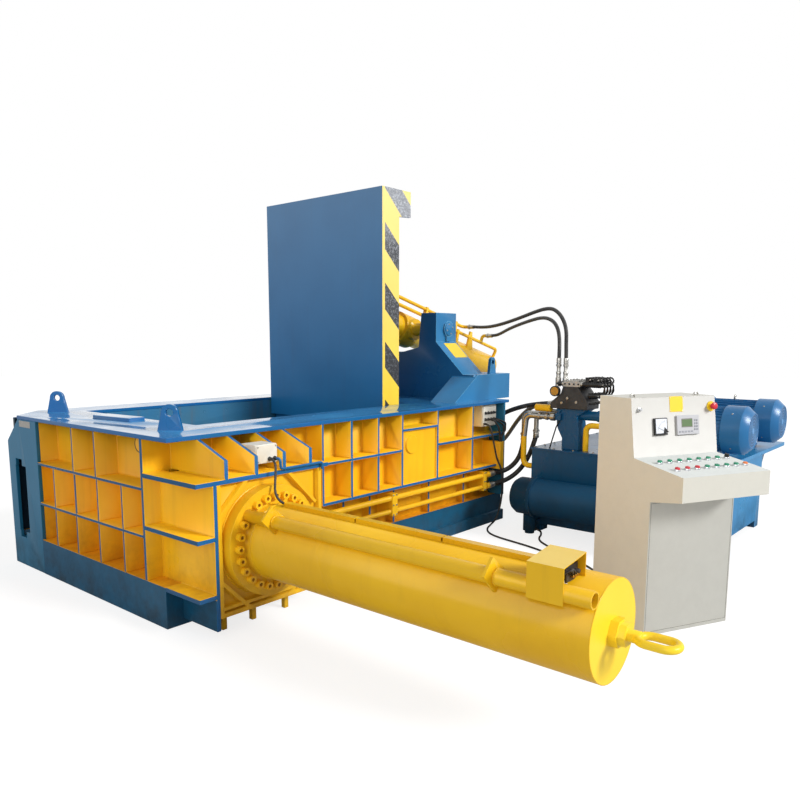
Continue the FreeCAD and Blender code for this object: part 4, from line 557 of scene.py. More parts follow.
def dress(node, finishes, choose=None, bevel=3.0, smooth=32, worn=None):
    bm = merged(node)
    for face in bm.faces:
        spot = (face.calc_center_median() - boxCorner) * 1000
        face.material_index = choose(spot, face.normal) if choose else 0
    piece(node + "_finished", bm, finishes, bevel, smooth=smooth, stands=node, worn=worn, rides=body(node))


def weldSeams(node, material, radius=4.5, least=70):
    source, bm = merged(node), bmesh.new()
    for edge in source.edges:
        if len(edge.link_faces) != 2 or edge.is_convex or edge.calc_length() * 1000 < least:
            continue
        if edge.calc_face_angle(0) > math.radians(50):
            a, b = ((v.co - boxCorner) * 1000 for v in edge.verts)
            rod(bm, a, b, radius, 6)
    source.free()
    piece(node + "_seams", bm, [material], smooth=60, rides=body(node))


# free hoses and cables
def lidTube(along, above, aside):
    tilt = math.radians(14.474)
    return (3325 + along * math.cos(tilt) + above * math.sin(tilt), 1052 + aside,
            1726 - along * math.sin(tilt) + above * math.cos(tilt))


startA, startB = lidTube(900, 270, -127), lidTube(1230, 262, -150)
cords = {
    "lid_hose_a": {"radius": 16, "length": 2.159, "points": [
        startA, (startA[0], 845, startA[2]), (4220, 745, 1757), (4130, 575, 1757), (4020, 380, 1775),
        (3900, 170, 1807), (3785, -20, 1840), (3690, -185, 1872), (3610, -330, 1895),
        (3548, -440, 1893), (3502, -525, 1855), (3470, -590, 1790), (3448, -630, 1705),
        (3443, -634, 1600), (3440, -640, 1490), (3440, -640, 1400)]},
    "lid_hose_b": {"radius": 16, "length": 2.149, "points": [
        startB, (startB[0], 830, startB[2]), (4560, 750, 1680), (4506, 660, 1701), (4400, 530, 1731),
        (4270, 370, 1760), (4130, 190, 1788), (3990, 10, 1812), (3855, -160, 1828),
        (3735, -300, 1818), (3630, -420, 1780), (3550, -500, 1715), (3492, -545, 1640),
        (3456, -567, 1560), (3440, -575, 1478), (3440, -575, 1400)]},
    "press_hose_a": {"radius": 21, "length": 0.612, "points": [
        (3190, -60, 460), (3262, -60, 460), (3330, -78, 462), (3388, -122, 480), (3420, -175, 530),
        (3432, -222, 600), (3433, -250, 690), (3432, -262, 770), (3432, -262, 829)]},
    "press_hose_b": {"radius": 21, "length": 0.786, "points": [
        (3190, -60, 360), (3268, -60, 360), (3345, -78, 366), (3412, -122, 392), (3458, -180, 445),
        (3482, -240, 525), (3491, -292, 625), (3493, -328, 725), (3492, -350, 795),
        (3492, -350, 857)]},
    "main_hose_a": {"radius": 20, "length": 1.494, "points": [
        (3480, -544, 1086), (3480, -464, 1086), (3486, -370, 1078), (3500, -230, 1052),
        (3525, -60, 1000), (3552, 120, 915), (3580, 290, 812), (3600, 430, 710), (3612, 560, 602),
        (3619, 640, 560), (3620, 720, 538), (3620, 800, 538)]},
    "main_hose_b": {"radius": 20, "length": 1.841, "points": [
        (3540, -544, 1086), (3540, -464, 1086), (3565, -380, 1077), (3635, -270, 1052),
        (3745, -135, 1005), (3880, 5, 940), (4025, 145, 865), (4165, 275, 785), (4290, 390, 710),
        (4395, 490, 645), (4480, 570, 597), (4540, 640, 556), (4560, 720, 538), (4560, 800, 538)]},
    "floor_cable": {"radius": 8, "length": 3.076, "stiffness": "medium", "points": [
        (3146, -54, 905), (3146, -86, 901), (3156, -106, 850), (3182, -108, 770), (3216, -106, 680),
        (3254, -104, 590), (3288, -132, 500), (3306, -134, 390), (3310, -128, 250),
        (3298, -112, 130), (3262, -98, 40), (3180, -96, 9), (3060, -140, 8.5), (2950, -225, 8.5),
        (2885, -350, 8.5), (2850, -510, 8.5), (2806, -710, 8.5), (2740, -900, 8.5),
        (2650, -1090, 8.5), (2540, -1280, 8.5), (2420, -1440, 8.5), (2300, -1570, 8.5),
        (2214, -1657, 9), (2169.6, -1746.3, 30), (2142.8, -1800, 30)]},
    "power_cable": {"radius": 8, "length": 1.695, "stiffness": "medium", "points": [
        (3214, -526, 40), (3204, -580, 38), (3150, -620, 22), (3080, -634, 9), (3000, -690, 8.5),
        (2930, -780, 8.5), (2860, -900, 8.5), (2780, -1040, 8.5), (2680, -1210, 8.5),
        (2565, -1370, 8.5), (2450, -1500, 8.5), (2340, -1605, 8.5), (2254, -1677, 9),
        (2209.9, -1766.3, 30), (2183.1, -1820, 30)]},
    "duct_cable": {"radius": 7, "length": 0.317, "stiffness": "limp", "points": [
        (518, -324, 950), (515, -352, 944), (502, -378, 900), (482, -392, 840), (464, -408, 780),
        (468, -430, 738), (486, -456, 716), (490, -480, 713)]},
}


def layCord(name, facts):
    curve = bpy.data.curves.new(name + "_free", "CURVE")
    curve.dimensions, curve.bevel_depth, curve.bevel_resolution = "3D", facts["radius"] / 1000, 5
    curve.resolution_u, curve.use_fill_caps = 10, True
    line = curve.splines.new("NURBS")
    line.points.add(len(facts["points"]) - 1)
    for point, spot in zip(line.points, facts["points"]):
        point.co = (*at(*spot), 1)
    line.order_u = 3
    line.use_endpoint_u = True
    curve.materials.append(rubber)
    made = show(name + "_free", curve)
    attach(made, "frame")
    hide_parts(name)
    return made


def crimp(name, facts, reach=78):
    bm = bmesh.new()
    for end in (0, -1):
        first = Vector(facts["points"][end])
        away = (Vector(facts["points"][1 if end == 0 else -2]) - first).normalized()
        r = facts["radius"]
        rod(bm, first + away * 8, first + away * 26, r * 1.6, 6)
        sleeve = [(0, 1), (1.1, 1), (1.1, 30), (1.28, 33), (1.28, 46), (1.18, 48), (1.18, 52),
                  (1.28, 54), (1.28, reach - 4), (1.16, reach), (0.9, reach)]
        lathe(bm, [(r * share, along) for share, along in sleeve], first, away, 24)
    return piece(name + "_crimps", bm, [zinc], bevel=1, angle=50)


for name, facts in cords.items():
    cord = layCord(name, facts)
    fittings = [crimp(name, facts)] if facts["radius"] > 10 else []
print("hoses and cables laid")


# the press: walls, rim, frame and towers
def wallPaint(spot, normal):
    if spot.z < wall["floorLine"]:
        return 2
    if normal.y < -0.9 and any(abs(spot.y - wall[plane]) < 2 for plane in ("front", "knee", "inner")):
        return 1
    # painted shade: blue edges facing -X get the darker edge blue
    if normal.x < -0.9 and abs(spot.x) < 2:
        return 3
    if normal.y < -0.3 and normal.z > 0.3:
        return 1
    return 0


def farPaint(spot, normal):
    # painted shade: the far wall's inner side is dark
    if spot.y < 1930:
        return 2
    return int(normal.y > 0.9 and spot.y > 1990 or spot.z > 1014)


def endPaint(spot, normal):
    # painted shade: past y 1559 the end wall is dark
    if spot.y > 1559:
        return 2
    return (0, 1, 0, 3)[wallPaint(spot, normal)]


dress("near_wall", [wallTwoTone, edgeBlue, baseBlue, shadedSideEdgeBlue], wallPaint)
dress("end_wall", [recessOrange, edgeBlue, insideShade, shadedSideEdgeBlue], endPaint)
plug = {"low": (178, 186, 772), "high": (224, 208, 890), "ring": (75, 335, 1022), "radius": 46, "wire": 4}
bm = bmesh.new()
block(bm, plug["low"], plug["high"])    # closes the foot of the corner post
# a ring on the back wall, painted dark brown as shade in the recess
hoop(bm, plug["ring"], right, plug["radius"], plug["wire"], 40, 8, 1)
x, y, z = plug["ring"]
rod(bm, (x - 1, y, z), (x + 5, y, z), plug["radius"] - 2, 40)
piece("end_wall_plug", bm, [recessOrange, ringShadeBrown], bevel=1)
dress("far_wall", [yellow, edgeBlue, insideShade], farPaint)
# painted shade: the end plates face -X and get a darker blue
dress("end_plates", [shadedPlateBlue])
dress("base_frame", [baseBlue, recessOrange], lambda spot, normal: int(normal.z > 0.9 and spot.z > 240))
# painted highlight: the rim's top faces get a lighter blue for glare
dress("rim_plate", [edgeBlue, rimTopGlareBlue], lambda spot, normal: int(normal.z > 0.9 and spot.z > 1098))
dress("chamber_liner", [linerBlue])
dress("cylinder_frame", [frameYellow])
# painted shade: the towers' faces towards -X get the darker blue
# their bevelled edges are light blue, partly wear and partly painted highlight
dress("lid_towers", [blue, shadedSideBlue, wornAndLitEdgeBlue], lambda spot, normal: int(normal.x < -0.8), bevel=4, worn=2)
for node, material in (("near_wall", yellow), ("end_wall", recessOrange), ("far_wall", yellow),
                       ("cylinder_frame", frameYellow), ("lid_towers", blue)):
    weldSeams(node, material)


# a plain plate, face up along the turned Z, with a rivet near each corner
def riveted(bm, middle, turn, wide, high, slot=0, rivet=1, inset=9, within=corner):
    where = within @ Matrix.Translation(Vector(middle) / 1000) @ turn
    block(bm, (-wide / 2, -high / 2, 0), (wide / 2, high / 2, 2), slot, where)
    for x in (inset - wide / 2, wide / 2 - inset):
        for y in (inset - high / 2, high / 2 - inset):
            rod(bm, (x, y, 1.5), (x, y, 3.6), 3.2, 12, rivet, 2.0, where)


slopePlate = {"middle": (3343, 419, 1533), "lean": 43.5, "wide": 194, "high": 184}
bm = bmesh.new()
riveted(bm, slopePlate["middle"], Matrix.Rotation(math.radians(slopePlate["lean"]), 4, "X"),
        slopePlate["wide"], slopePlate["high"])
piece("tower_blank_plate", bm, [plateYellow, zinc], bevel=0.6)
endTag = {"middle": (0, 1700, 1044), "wide": 170, "high": 44}
bm = bmesh.new()
riveted(bm, endTag["middle"], Matrix.Rotation(-math.pi / 2, 4, "Y") @ Matrix.Rotation(math.pi / 2, 4, "Z"),
        endTag["wide"], endTag["high"])
piece("end_blank_tag", bm, [zinc, zinc], bevel=0.6)

# bearing covers on the tower heads, with their bolts
trunnion = {"x": 3325, "z": 1726, "nearFace": 484, "farFace": 1620, "cover": 64, "ring": 69, "circle": 44,
            "bolts": 4}
bm = bmesh.new()
for face, out in ((trunnion["nearFace"], -1), (trunnion["farFace"], 1)):
    spot = Vector((trunnion["x"], face, trunnion["z"]))
    lathe(bm, [(0, 14), (24, 14), (26, 11), (58, 11), (trunnion["cover"], 8), (trunnion["cover"], -2)],
          spot, (0, out, 0), 48)
    # painted highlight: a light blue ring round each cover's edge
    hoop(bm, spot, (0, out, 0), trunnion["ring"], 3, 48, 8, 2)
    for c, h in circle(trunnion["bolts"], 0.3):
        place = spot + Vector((c, 0, h)) * trunnion["circle"] + Vector((0, 10.5 * out, 0))
        bolt(bm, place, (0, out, 0), 7, 1)
piece("trunnion_covers", bm, [blue, zinc, wornAndLitEdgeBlue], bevel=1)

# countersunk bolts that hold the liner plates, low enough for the rams to pass, none in the side ram's mouth
liner = {"near": 346, "far": 1758, "columns": range(620, 2300, 228), "rows": (330, 560, 790, 1020),
         "radius": 13, "mouthEnd": 755, "mouthTop": 800}
head = [(0, 0.2), (5, 0.2), (6, 0.7), (liner["radius"], 0.7), (liner["radius"], -1)]
bm = bmesh.new()
for y, out in ((liner["near"], 1), (liner["far"], -1)):
    for x in liner["columns"]:
        for z in liner["rows"]:
            if out < 0 or x >= liner["mouthEnd"] or z >= liner["mouthTop"]:
                lathe(bm, head, (x, y, z), (0, out, 0), 20)
piece("liner_bolts", bm, [linerBlue], smooth=40)
print("press box finished")

# cylinders and pipes
# painted light: the barrel's end face and the lifting eye get the lighter yellow
dress("side_barrel", [barrelYellow, litEndYellow, frameYellow],
      lambda spot, normal: 1 if spot.y < -2395 else 2 if spot.y > -400 else 0, bevel=2)
# painted shade: the bolts' sockets are a darker yellow
dress("flange_bolts", [yellow, socketShadeYellow],
      lambda spot, normal: int(-395 < spot.y < -380 and normal.y < -0.9 or -394 < spot.y < -390), bevel=2,
      smooth=40)
dress("lifting_eye", [litEndYellow], bevel=2)
# painted highlight: the upward faces of the sensor's cover are a paler yellow
dress("sensor_track", [barrelYellow, coverTopLitYellow],
      lambda spot, normal: int(normal.z > 0.7 and spot.z > 760 and spot.y < -2100), bevel=1)
dress("limit_switch", [blackPlastic], bevel=2)
for node, material, bevel in (
        ("main_barrel", yellow, 2), ("side_pipes", yellow, 3), ("gate_cylinder", yellow, 2),
        ("lid_barrel", barrelYellow, 2), ("lid_pipes", yellow, 1), ("lid_rod", chrome, 1),
        ("hinge_pin", steel, 2), ("side_ram", steel, 3), ("main_ram", steel, 3),
        ("discharge_gate", darkSteel, 3)):
    dress(node, [material], bevel=bevel)

# each weld ring on the side cylinder: place, radius, bead radius, sides
barrel = {"x": 490, "z": 490, "radius": 215, "end": -2403, "neck": -413, "flange": (-289, 322),
          "pipe": (304, 666), "pipeEnds": (-606, -1984), "pipeRadius": 36}
middle = (barrel["x"], barrel["z"])
rings = [(middle, barrel["end"], barrel["radius"] - 2, 2.5, 96),
         (middle, barrel["neck"], barrel["radius"], 5, 96), (middle, *barrel["flange"], 7, 96)]
rings += [(barrel["pipe"], y, barrel["pipeRadius"], 4, 40) for y in barrel["pipeEnds"]]
bm = bmesh.new()
for (x, z), y, big, small, sides in rings:
    hoop(bm, (x, y, z), back, big, small, sides, 8)
piece("barrel_seams", bm, [barrelYellow], smooth=60)

# the sensor's wiring and terminals under its cover, each wire moved a little from the first
wires = ((0, 0), (14, 9), (-12, 12), (26, -4))
bm = bmesh.new()
for dx, dz in wires:
    route = [(372 + dx, -2266, 722 + dz / 2), (372 + dx, -2284, 726 + dz), (350 + dx / 2, -2286, 748),
             (330 + dx / 3, -2262, 742 - dz), (318 + dx / 3, -2230, 722), (310, -2190, 708)]
    tube(bm, bend(route, 14), 4, 8)
for x in (384, 402, 420):
    rod(bm, (x, -2266, 712), (x, -2280, 712), 6, 12, 1)
block(bm, (338, -2262, 664), (366, -2200, 700), 2)
piece("sensor_wiring", bm, [rubber, brass, zinc], bevel=0.8)

bm = bmesh.new()
for x in (1874, 1910, 3092, 3112):
    for z in (338, 410, 486):
        bolt(bm, (x, -86, z), ahead, 6)
piece("saddle_bolts", bm, [zinc])
press = {"y": 1052, "z": 538, "flange": 3480, "end": 4676, "radius": 200, "bolts": 16, "circle": 234}
bm = bmesh.new()
for c, h in circle(press["bolts"], math.pi / press["bolts"]):
    spot = (press["flange"], press["y"] + press["circle"] * c, press["z"] + press["circle"] * h)
    bolt(bm, spot, right, 15)
for x, big, small in ((press["end"], press["radius"], 4), (press["flange"] + 2, press["radius"] + 2, 6)):
    hoop(bm, (x, press["y"], press["z"]), right, big, small, 72, 8)
piece("main_flange_bolts", bm, [yellow])
print("cylinders finished")


# lid, striped on its two sides
dress("lid", [lidBlue, stripes],
      lambda spot, normal: int(abs(normal.y) > 0.9 and not 362 <= spot.y <= 1742 and spot.z > 960), bevel=4)
weldSeams("lid", lidBlue)
print("lid finished")


# power unit
def pipePaint(spot, normal):
    if 3300 < spot.x < 3400 and spot.y > -610 and spot.z > 960:
        return 0 if spot.z > 1020 else (2 if spot.y < -450 else 1)
    return int(spot.z > 830 and spot.y > -600 and spot.x > 3300)


def tankPaint(spot, normal):
    # painted shade: the vessel on the tank's -X side is a darker blue
    if spot.x < 3338 and spot.z < 500:
        return 2
    # painted light: the -Y end faces and the parts above the lid get a lighter blue
    return int(normal.y < -0.9 and spot.y < -1860 or spot.z > 720)


dress("oil_tank", [unitBlue, tankLitBlue, vesselShadeBlue], tankPaint, bevel=3)
dress("manifold", [unitBlue, blackIron],
      lambda spot, normal: int(spot.z > 1060.5 or spot.z > 1059 and normal.z < 0))
dress("unit_pipes", [yellow, zinc, rubber], pipePaint, bevel=1)
dress("pumps", [unitBlue], bevel=2)

# bolts round the tank's lid and the vessel's cap, and the filler
tank = {"x": (3366, 4754), "y": (-1838, -414), "lidTop": 716, "gaps": 8, "vessel": (3178, -535, 325),
        "vesselCircle": 160, "vesselBolts": 12, "filler": (4050, -1000, 750)}
bm = bmesh.new()
edge = [(x, y) for y in spaced(*tank["y"], tank["gaps"]) for x in tank["x"]]
edge += [(x, y) for x in spaced(*tank["x"], tank["gaps"])[1:-1] for y in tank["y"]]
for x, y in edge:
    bolt(bm, (x, y, tank["lidTop"]), up, 9)
x, y, z = tank["vessel"]
for c, h in circle(tank["vesselBolts"]):
    bolt(bm, (x + tank["vesselCircle"] * c, y, z + tank["vesselCircle"] * h), back, 6)
x, y, z = tank["filler"]
rod(bm, (x, y, z), (x, y, z + 40), 58, 32)
rod(bm, (x, y, z + 40), (x, y, z + 50), 40, 32)
piece("tank_bolts", bm, [zinc], bevel=0.8)
gauge = {"x": 3326, "y": -1300, "foot": 240, "head": 570, "radius": 9, "marks": (3450, 3520)}
bm = bmesh.new()
x, y = gauge["x"], gauge["y"]
rod(bm, (x, y, gauge["foot"] + 10), (x, y, gauge["head"] - 10), gauge["radius"], 20, 1)
for z in (gauge["foot"], gauge["head"]):
    block(bm, (x - 14, y - 16, z - 16), (x + 15, y + 16, z + 16))
for x in gauge["marks"]:
    block(bm, (x, -1868, 300), (x + 6, -1872.5, 620))
piece("tank_level_gauge", bm, [zinc, glass], bevel=1.5)


# outline of a coil with ridges round it
def ribbed(radius, ridge, count, pitch, first, wide, end):
    outline = [(0, 0), (radius, 0)]
    for k in range(count):
        low = first + pitch * k
        outline += [(radius, low), (ridge, low + 1), (ridge, low + wide - 1), (radius, low + wide)]
    return outline + [(radius - 2, end), (0, end)]


valve = {"count": 4, "first": 3396, "pitch": 56, "seat": 1245, "axis": 1266, "lowAxis": 1176}
foot, high, low = valve["seat"], valve["axis"], valve["lowAxis"]
coil = ribbed(20, 24.5, 9, 17, 8, 10, 166)
lowCoil = ribbed(19, 23, 5, 15, 4, 9, 82)
cap = [(0, 0), (19, 0), (19, 34), (16, 38), (10, 40), (10, 52), (0, 52)]
innerPipe = [(0, -990, high), (0, -1004, 1262), (4, -1010, 1215), (4, -990, 1180), (0, -960, low)]
outerPipe = [(10, -940, 1290), (12, -974, 1304), (14, -1004, 1250), (12, -980, 1140), (8, -930, 1112),
             (8, -874, 1112)]
bm = bmesh.new()
for i in range(valve["count"]):
    x = valve["first"] + valve["pitch"] * i
    block(bm, (x - 22, -806, foot), (x + 22, -654, foot + 41), 1)
    block(bm, (x - 17, -790, foot + 38), (x + 17, -670, foot + 50), 1)
    for y in (-776, -730, -684):
        rod(bm, (x, y, foot + 49), (x, y, foot + 57), 9, 12, 1)
        rod(bm, (x, y, foot + 56), (x, y, foot + 60), 6, 6)
    for y in (-790, -750, -710, -670):
        rod(bm, (x - 21, y, foot + 22), (x - 25, y, foot + 22), 8, 12)
    for start, end, z, radius in ((-656, -636, high + 2, 18), (-804, -822, high, 20), (-986, -998, high, 9),
                                  (-952, -966, low, 9)):
        rod(bm, (x, start, z), (x, end, z), radius, 6, 1)
    lathe(bm, cap, (x, -638, high + 2), back, 24)
    lathe(bm, coil, (x, -822, high), ahead, 24)
    lathe(bm, lowCoil, (x, -872, low), ahead, 24)
    for route, radius in ((innerPipe, 24), (outerPipe, 30)):
        tube(bm, bend([(x + dx, y, z) for dx, y, z in route], radius), 7, 8)
    for y, rise in ((-862, 26), (-932, 20)):
        block(bm, (x - 13, y - 16, 1284), (x + 13, y + 16, 1300 + rise))
        rod(bm, (x, y - 16, 1292 + rise / 2), (x, y - 30, 1292 + rise / 2), 9, 12, 1)
        arc = []
        for k in range(7):    # a ringed conduit that curls over the plug
            turn = math.radians(62 + 28 * k)
            arc.append((x + 3 * k, y - 44 + 26 * math.cos(turn), 1296 + 26 * math.sin(turn)))
            hoop(bm, arc[-1], (0, -math.sin(turn), math.cos(turn)), 6, 3, 12, 6)
        tube(bm, arc, 6, 8)
for y, z in ((-700, 1150), (-780, 1120), (-650, 1110)):
    rod(bm, (3362, y, z), (3370, y, z), 12, 6, 1)
riser = [(0, 0), (24, 0), (24, 20), (19, 24), (19, 50), (22, 54), (22, 70), (16, 74), (16, 107), (0, 107)]
for y in (-640, -575):
    lathe(bm, riser, (3440, y, 1293), up, 24, 1)
    rod(bm, (3440, y, 1240), (3440, y, 1296), 27, 6, 1)
for x, z, start, end, radius, sides, slot in (
        (3465, 1006, -779, -950, 40, 32, 2), (3465, 1006, -930, -962, 47, 8, 2),
        (3372, 985, -506, -528, 30, 6, 1), (3372, 985, -440, -462, 31, 24, 1),
        (3372, 985, -592, -556, 32, 24, 1)):
    rod(bm, (x, start, z), (x, end, z), radius, sides, slot)
block(bm, (3360, -648, 962), (3412, -596, 1018), 2)
rod(bm, (3386, -622, 1010), (3386, -622, 1044), 8, 12, 2)
rod(bm, (3386, -640, 1040), (3386, -580, 1046), 6, 12, 2)
drain = [(3384, -640, 985), (3380, -600, 900), (3376, -560, 760), (3376, -548, 714)]
tube(bm, bend(drain, 40), 6, 8)
dial, towards = (3360, -600, 1206), (-1, 0, 0)
lathe(bm, [(0, 30), (36, 30), (38, 32), (43, 32), (44, 29), (44, 2), (40, 0), (0, 0)], dial, towards, 40)
lathe(bm, [(0, 30.6), (35, 30.6), (35, 28)], dial, towards, 40, 3)
rod(bm, (3356, -600, 1206), (3372, -600, 1206), 16, 6, 1)
piece("valves_finished", bm, [glossBlack, zinc, unitBlue, brass], bevel=0.8, stands="solenoid_valves")

motor = {"count": 2, "x": 3600, "pitch": 850, "y": -2080, "z": 965, "fins": 36,
         "rings": (34, 56, 78, 100, 120), "spokes": 6, "screws": 4, "feet": (-1860, -1600)}
cowl = [(0, 7), (124, 7), (125, 1), (132, 1), (178, 50), (180, 53), (180, 187), (177, 191), (0, 191)]
barrelWall = [(0, 190), (153, 190), (153, 560), (0, 560)]
bell = [(0, 540), (160, 540), (186, 562), (190, 566), (190, 587), (187, 590), (0, 590)]
bm = bmesh.new()
for i in range(motor["count"]):
    x, y, z = tail = Vector((motor["x"] + motor["pitch"] * i, motor["y"], motor["z"]))
    for outline in (cowl, barrelWall, bell):
        lathe(bm, outline, tail, back, 72)
    for k in range(motor["fins"]):
        turn = Matrix.Rotation(2 * math.pi * k / motor["fins"], 4, "Y")
        block(bm, (-2.2, 197, 148), (2.2, 548, 166), 0, corner @ Matrix.Translation(tail / 1000) @ turn)
    lathe(bm, [(0, 4.5), (121, 4.5), (121, 9)], tail, back, 48, 3)
    for big in motor["rings"]:
        hoop(bm, (x, y + 5, z), back, big, 2.4, 48, 6, 1)
    for c, h in circle(motor["spokes"]):
        rod(bm, (x + 20 * c, y + 7, z + 20 * h), (x + 125 * c, y + 7, z + 125 * h), 3, 8, 1)
    rod(bm, (x, y + 3, z), (x, y + 10, z), 24, 24, 1)
    for c, h in circle(motor["screws"], math.pi / motor["screws"]):
        bolt(bm, (x + 181 * c, y + 120, z + 181 * h), (c, 0, h), 5, 2)
    for foot in motor["feet"]:
        block(bm, (x - 150, foot, 746), (x + 150, foot + 70, 762))
        for dx in (-128, 128):
            block(bm, (x + dx - 16, foot + 4, 762), (x + dx + 16, foot + 66, 862))
            bolt(bm, (x + dx, foot + 35, 861), up, 6, 2)
        block(bm, (x - 120, foot + 10, 762), (x + 120, foot + 60, 846))
    block(bm, (x + 130, -1800, 955), (x + 214, -1640, 1065))    # terminal box and its lid
    block(bm, (x + 212, -1806, 949), (x + 220, -1634, 1071))
    for screwY in (-1796, -1644):
        for screwZ in (960, 1060):
            rod(bm, (x + 219, screwY, screwZ), (x + 223, screwY, screwZ), 4, 12, 2)
    rod(bm, (x, -1700, 1110), (x, -1700, 1134), 12, 16, 2)    # lifting ring
    hoop(bm, (x, -1700, 1148), back, 17, 6, 32, 10, 2)
piece("motors_finished", bm, [motorBlue, motorGuard, zinc, motorEnd], bevel=1.2, stands="motors")
print("power unit finished")

# control desk
desk = {"corner": (1670, -2076, 0), "turn": -26.5, "slope": 7.605, "lean": 82.164}
deskFrame = Matrix.Translation(at(*desk["corner"])) @ Matrix.Rotation(math.radians(desk["turn"]), 4, "Z")
intoDesk = deskFrame.inverted()


# the matrix of a spot on the desk's slope or upright panel, Z facing out of it
def seat(x, along, panel=False):
    angle = math.radians(desk["lean" if panel else "slope"])
    y, z = (142, 980) if panel else (-225, 931)
    spot = Vector((x, y + along * math.cos(angle), z + along * math.sin(angle)))
    return deskFrame @ Matrix.Translation(spot / 1000) @ Matrix.Rotation(angle, 4, "X")


# a turned shape that stands out of the desk at a seat
def knob(bm, outline, where, sides=28, slot=0):
    lathe(bm, outline, (0, 0, 0), up, sides, slot, where)


def deskPaint(spot, normal):
    way = intoDesk.to_3x3() @ normal
    if abs(way.x) > 0.9 or way.y > 0.5:
        return 0
    if way.z > 0.5:
        return 4 if spot.z < 1100 else 2
    # painted shade: the front below the lip, under the slope's overhang, is a darker cream
    return 1 if spot.z > 990 else 2 if spot.z > 790 else 3


dress("console", [cream, panelCream, lipCream, frontShadeCream, slopeGrey], deskPaint, bevel=2)
trim = {"left": 8, "right": 602, "foot": 20, "head": 752, "hinges": (180, 640, 1080), "slots": 9,
        "feet": (30, 540), "lugs": (70, 540)}
bm = bmesh.new()
x0, x1, z0, z1 = (trim[side] for side in ("left", "right", "foot", "head"))
for a, b, c, d in ((x0, x0 + 2, z0, z1), (x1 - 2, x1, z0, z1), (x0, x1, z1 - 2, z1), (x0, x1, z0, z0 + 2)):
    block(bm, (a, -1.0, c), (b, 0.5, d), 0, deskFrame)    # the front door's seam
for z in trim["hinges"]:
    rod(bm, (588, 452, z), (588, 452, z + 60), 7, 16, 1, within=deskFrame)
for k in range(trim["slots"]):
    block(bm, (170, 453, 980 + 22 * k), (440, 456, 988 + 22 * k), 0, deskFrame)
for x in trim["feet"]:
    block(bm, (x, 100, 0), (x + 40, 130, 3), 2, deskFrame)
for high in ((634, 100, 4), (614, 100, 34)):    # the bracket at the foot
    block(bm, (610, 60, 0), high, 2, deskFrame)
bolt(bm, (623, 80, 4), up, 5, 1, deskFrame)
for x in trim["lugs"]:
    hoop(bm, (x, 260, 1307), back, 17, 4.5, 32, 8, 1, deskFrame)
    rod(bm, (x, 260, 1302), (x, 260, 1311), 12, 16, 1, within=deskFrame)
piece("desk_fittings", bm, [seamGrey, zinc, boxWhite], bevel=0.4)

label = {"x": 318, "along": 289, "wide": 96, "high": 88, "inset": 6}
bm = bmesh.new()
riveted(bm, (0, 0, 0), Matrix(), label["wide"], label["high"], 0, 1, label["inset"],
        seat(label["x"], label["along"], True))
piece("desk_blank_plate", bm, [plateYellow, zinc], bevel=0.4)

# rows of buttons on the slope, the emergency stop and the key switch on the panel
columns = [67 + 69 * i for i in range(8)]
rows = {"back": 245, "front": 115}
stopSeat, keySeat, lampSeat = seat(575, 268, True), seat(50, 265, True), seat(columns[7], rows["front"])
bezel = [(13.1, 0), (17, 0), (17, 7), (15.6, 9.6), (14, 10), (13.1, 9.4), (13.1, 0)]
bm = bmesh.new()
for along, used in ((rows["back"], columns), (rows["front"], columns[:7])):
    for x in used:
        knob(bm, bezel, seat(x, along))
knob(bm, [(0, 0), (17, 0), (17, 7), (15.6, 10), (12, 10), (12, 9)], lampSeat)
knob(bm, [(12.6, 9), (12.6, 14), (11, 17.5), (7, 19), (0, 19)], lampSeat, slot=1)
knob(bm, [(9.1, 0), (13, 0), (13, 6), (11.5, 8.5), (9.1, 9)], keySeat)
knob(bm, [(11.1, 0), (29, 0), (29, 6), (27, 8), (11.1, 8)], stopSeat, 40, 2)
piece("desk_bezels", bm, [chrome, amberCap, plateYellow], stands="console_instruments", smooth=40)

meter = {"x": 192, "along": 166, "ticks": 13, "first": 8, "sweep": 74, "needle": 24}


# direction across the meter's dial, in degrees up from its left
def dialWay(degrees):
    return Vector((-math.cos(math.radians(degrees)), math.sin(math.radians(degrees)), 0))


where, hub = seat(meter["x"], meter["along"], True), Vector((34, -32, 14))
bm = bmesh.new()
block(bm, (-46, -48, 0), (46, 48, 12), 0, where)
block(bm, (-38, -38, 10), (40, 43, 14), 1, where)
for k in range(meter["ticks"]):
    out = dialWay(meter["first"] + meter["sweep"] * k / (meter["ticks"] - 1))
    rod(bm, hub + out * 56, hub + out * (64 if k % 3 else 68), 0.7, 6, within=where)
hub.z += 1
rod(bm, hub, hub + dialWay(meter["needle"]) * 60, 0.9, 6, within=where)
cornerTurn = where @ Matrix.Translation((0.0285, -0.0265, 0)) @ Matrix.Rotation(math.radians(-45), 4, "Z")
rod(bm, (0, 0, 12), (0, 0, 16), 23, 3, 0, within=cornerTurn)
piece("desk_meter", bm, [glossBlack, dialWhite], bevel=0.5)

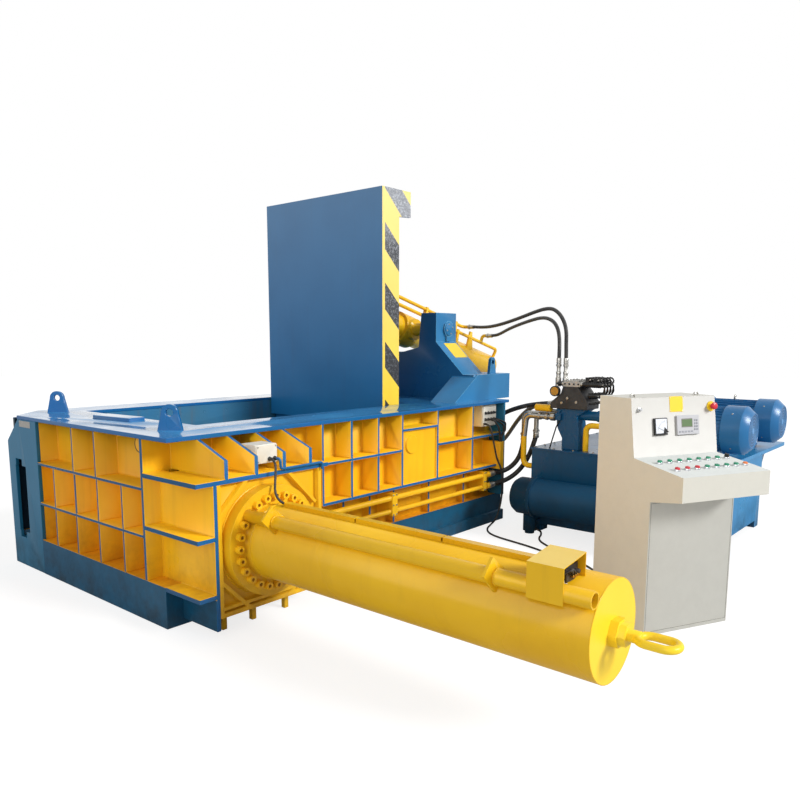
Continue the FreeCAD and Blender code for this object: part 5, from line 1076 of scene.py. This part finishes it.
display = {"x": 390, "along": 168}
where = seat(display["x"], display["along"], True)
bm = bmesh.new()
block(bm, (-81, -55, 0), (81, 55, 12), 0, where)
block(bm, (-50, -14, 9), (32, 36, 13), 1, where)
block(bm, (-46, -9, 12), (28, 31, 13.6), 2, where)
for i in range(2):
    for k in range(4):
        block(bm, (44 + 16 * i, -32 + 17 * k, 11), (55 + 16 * i, -22 + 17 * k, 14.5), 3, where)
for k in range(5):
    block(bm, (-70 + 22 * k, -43, 11), (-56 + 22 * k, -34, 14), 3, where)
piece("desk_display", bm, [displayGrey, seamGrey, lcdGreen, keyGrey], bevel=0.8)

buttonCap = [(0, 6), (12.9, 6), (12.9, 16.6), (12, 18.3), (10.5, 19), (8, 18.4), (0, 18)]
for row, along in rows.items():
    for i in range(1, 8):
        name = f"button_{row}_{i}"
        bm = bmesh.new()
        knob(bm, buttonCap, seat(columns[i - 1], along))
        piece(name + "_cap", bm, [redCap if row == "front" and i < 4 else greenCap], stands=name,
              smooth=40, rides=name)
dress("selector", [blackPlastic], bevel=1)
bm = bmesh.new()
knob(bm, [(0, 7), (11, 7), (11, 20), (17, 21), (20, 24), (20, 32), (18.5, 36), (15, 38), (0, 38)],
     stopSeat, 36)
piece("emergency_stop_finished", bm, [redCap], stands="emergency_stop", smooth=40,
      rides="emergency_stop")
dress("key_switch", [chrome], bevel=1)


# junction boxes: paint of the solids, then screws and gland nuts
def boxPaint(spot, normal):
    if spot.y < -326:
        return 2
    return int(spot.y < -311 or -200 < spot.y < -33)


dress("junction_boxes", [boxWhite, blackPlastic, edgeBlue], boxPaint, bevel=1.5)
smallBox = {"face": -301, "columns": (437, 568), "rows": (938, 1023), "glands": (518, 556)}
largeBox = {"face": -31, "columns": (3143, 3327), "rows": (893, 1057), "glands": (997, 941)}
bm = bmesh.new()
for box, size in ((smallBox, 5), (largeBox, 6)):
    for x in box["columns"]:
        for z in box["rows"]:
            rod(bm, (x, box["face"], z), (x, box["face"] - 3, z), size, 12)
for x in smallBox["glands"]:
    rod(bm, (x, smallBox["face"] - 1, 950), (x, smallBox["face"] - 9, 950), 14, 6, 1)
for k in range(4):
    for z in largeBox["glands"]:
        x, y = 3166 + 43 * k, largeBox["face"]
        rod(bm, (x, y - 1, z), (x, y - 9, z), 14, 6, 1)
piece("junction_box_screws", bm, [zinc, blackPlastic], bevel=0.6)
print("desk finished")
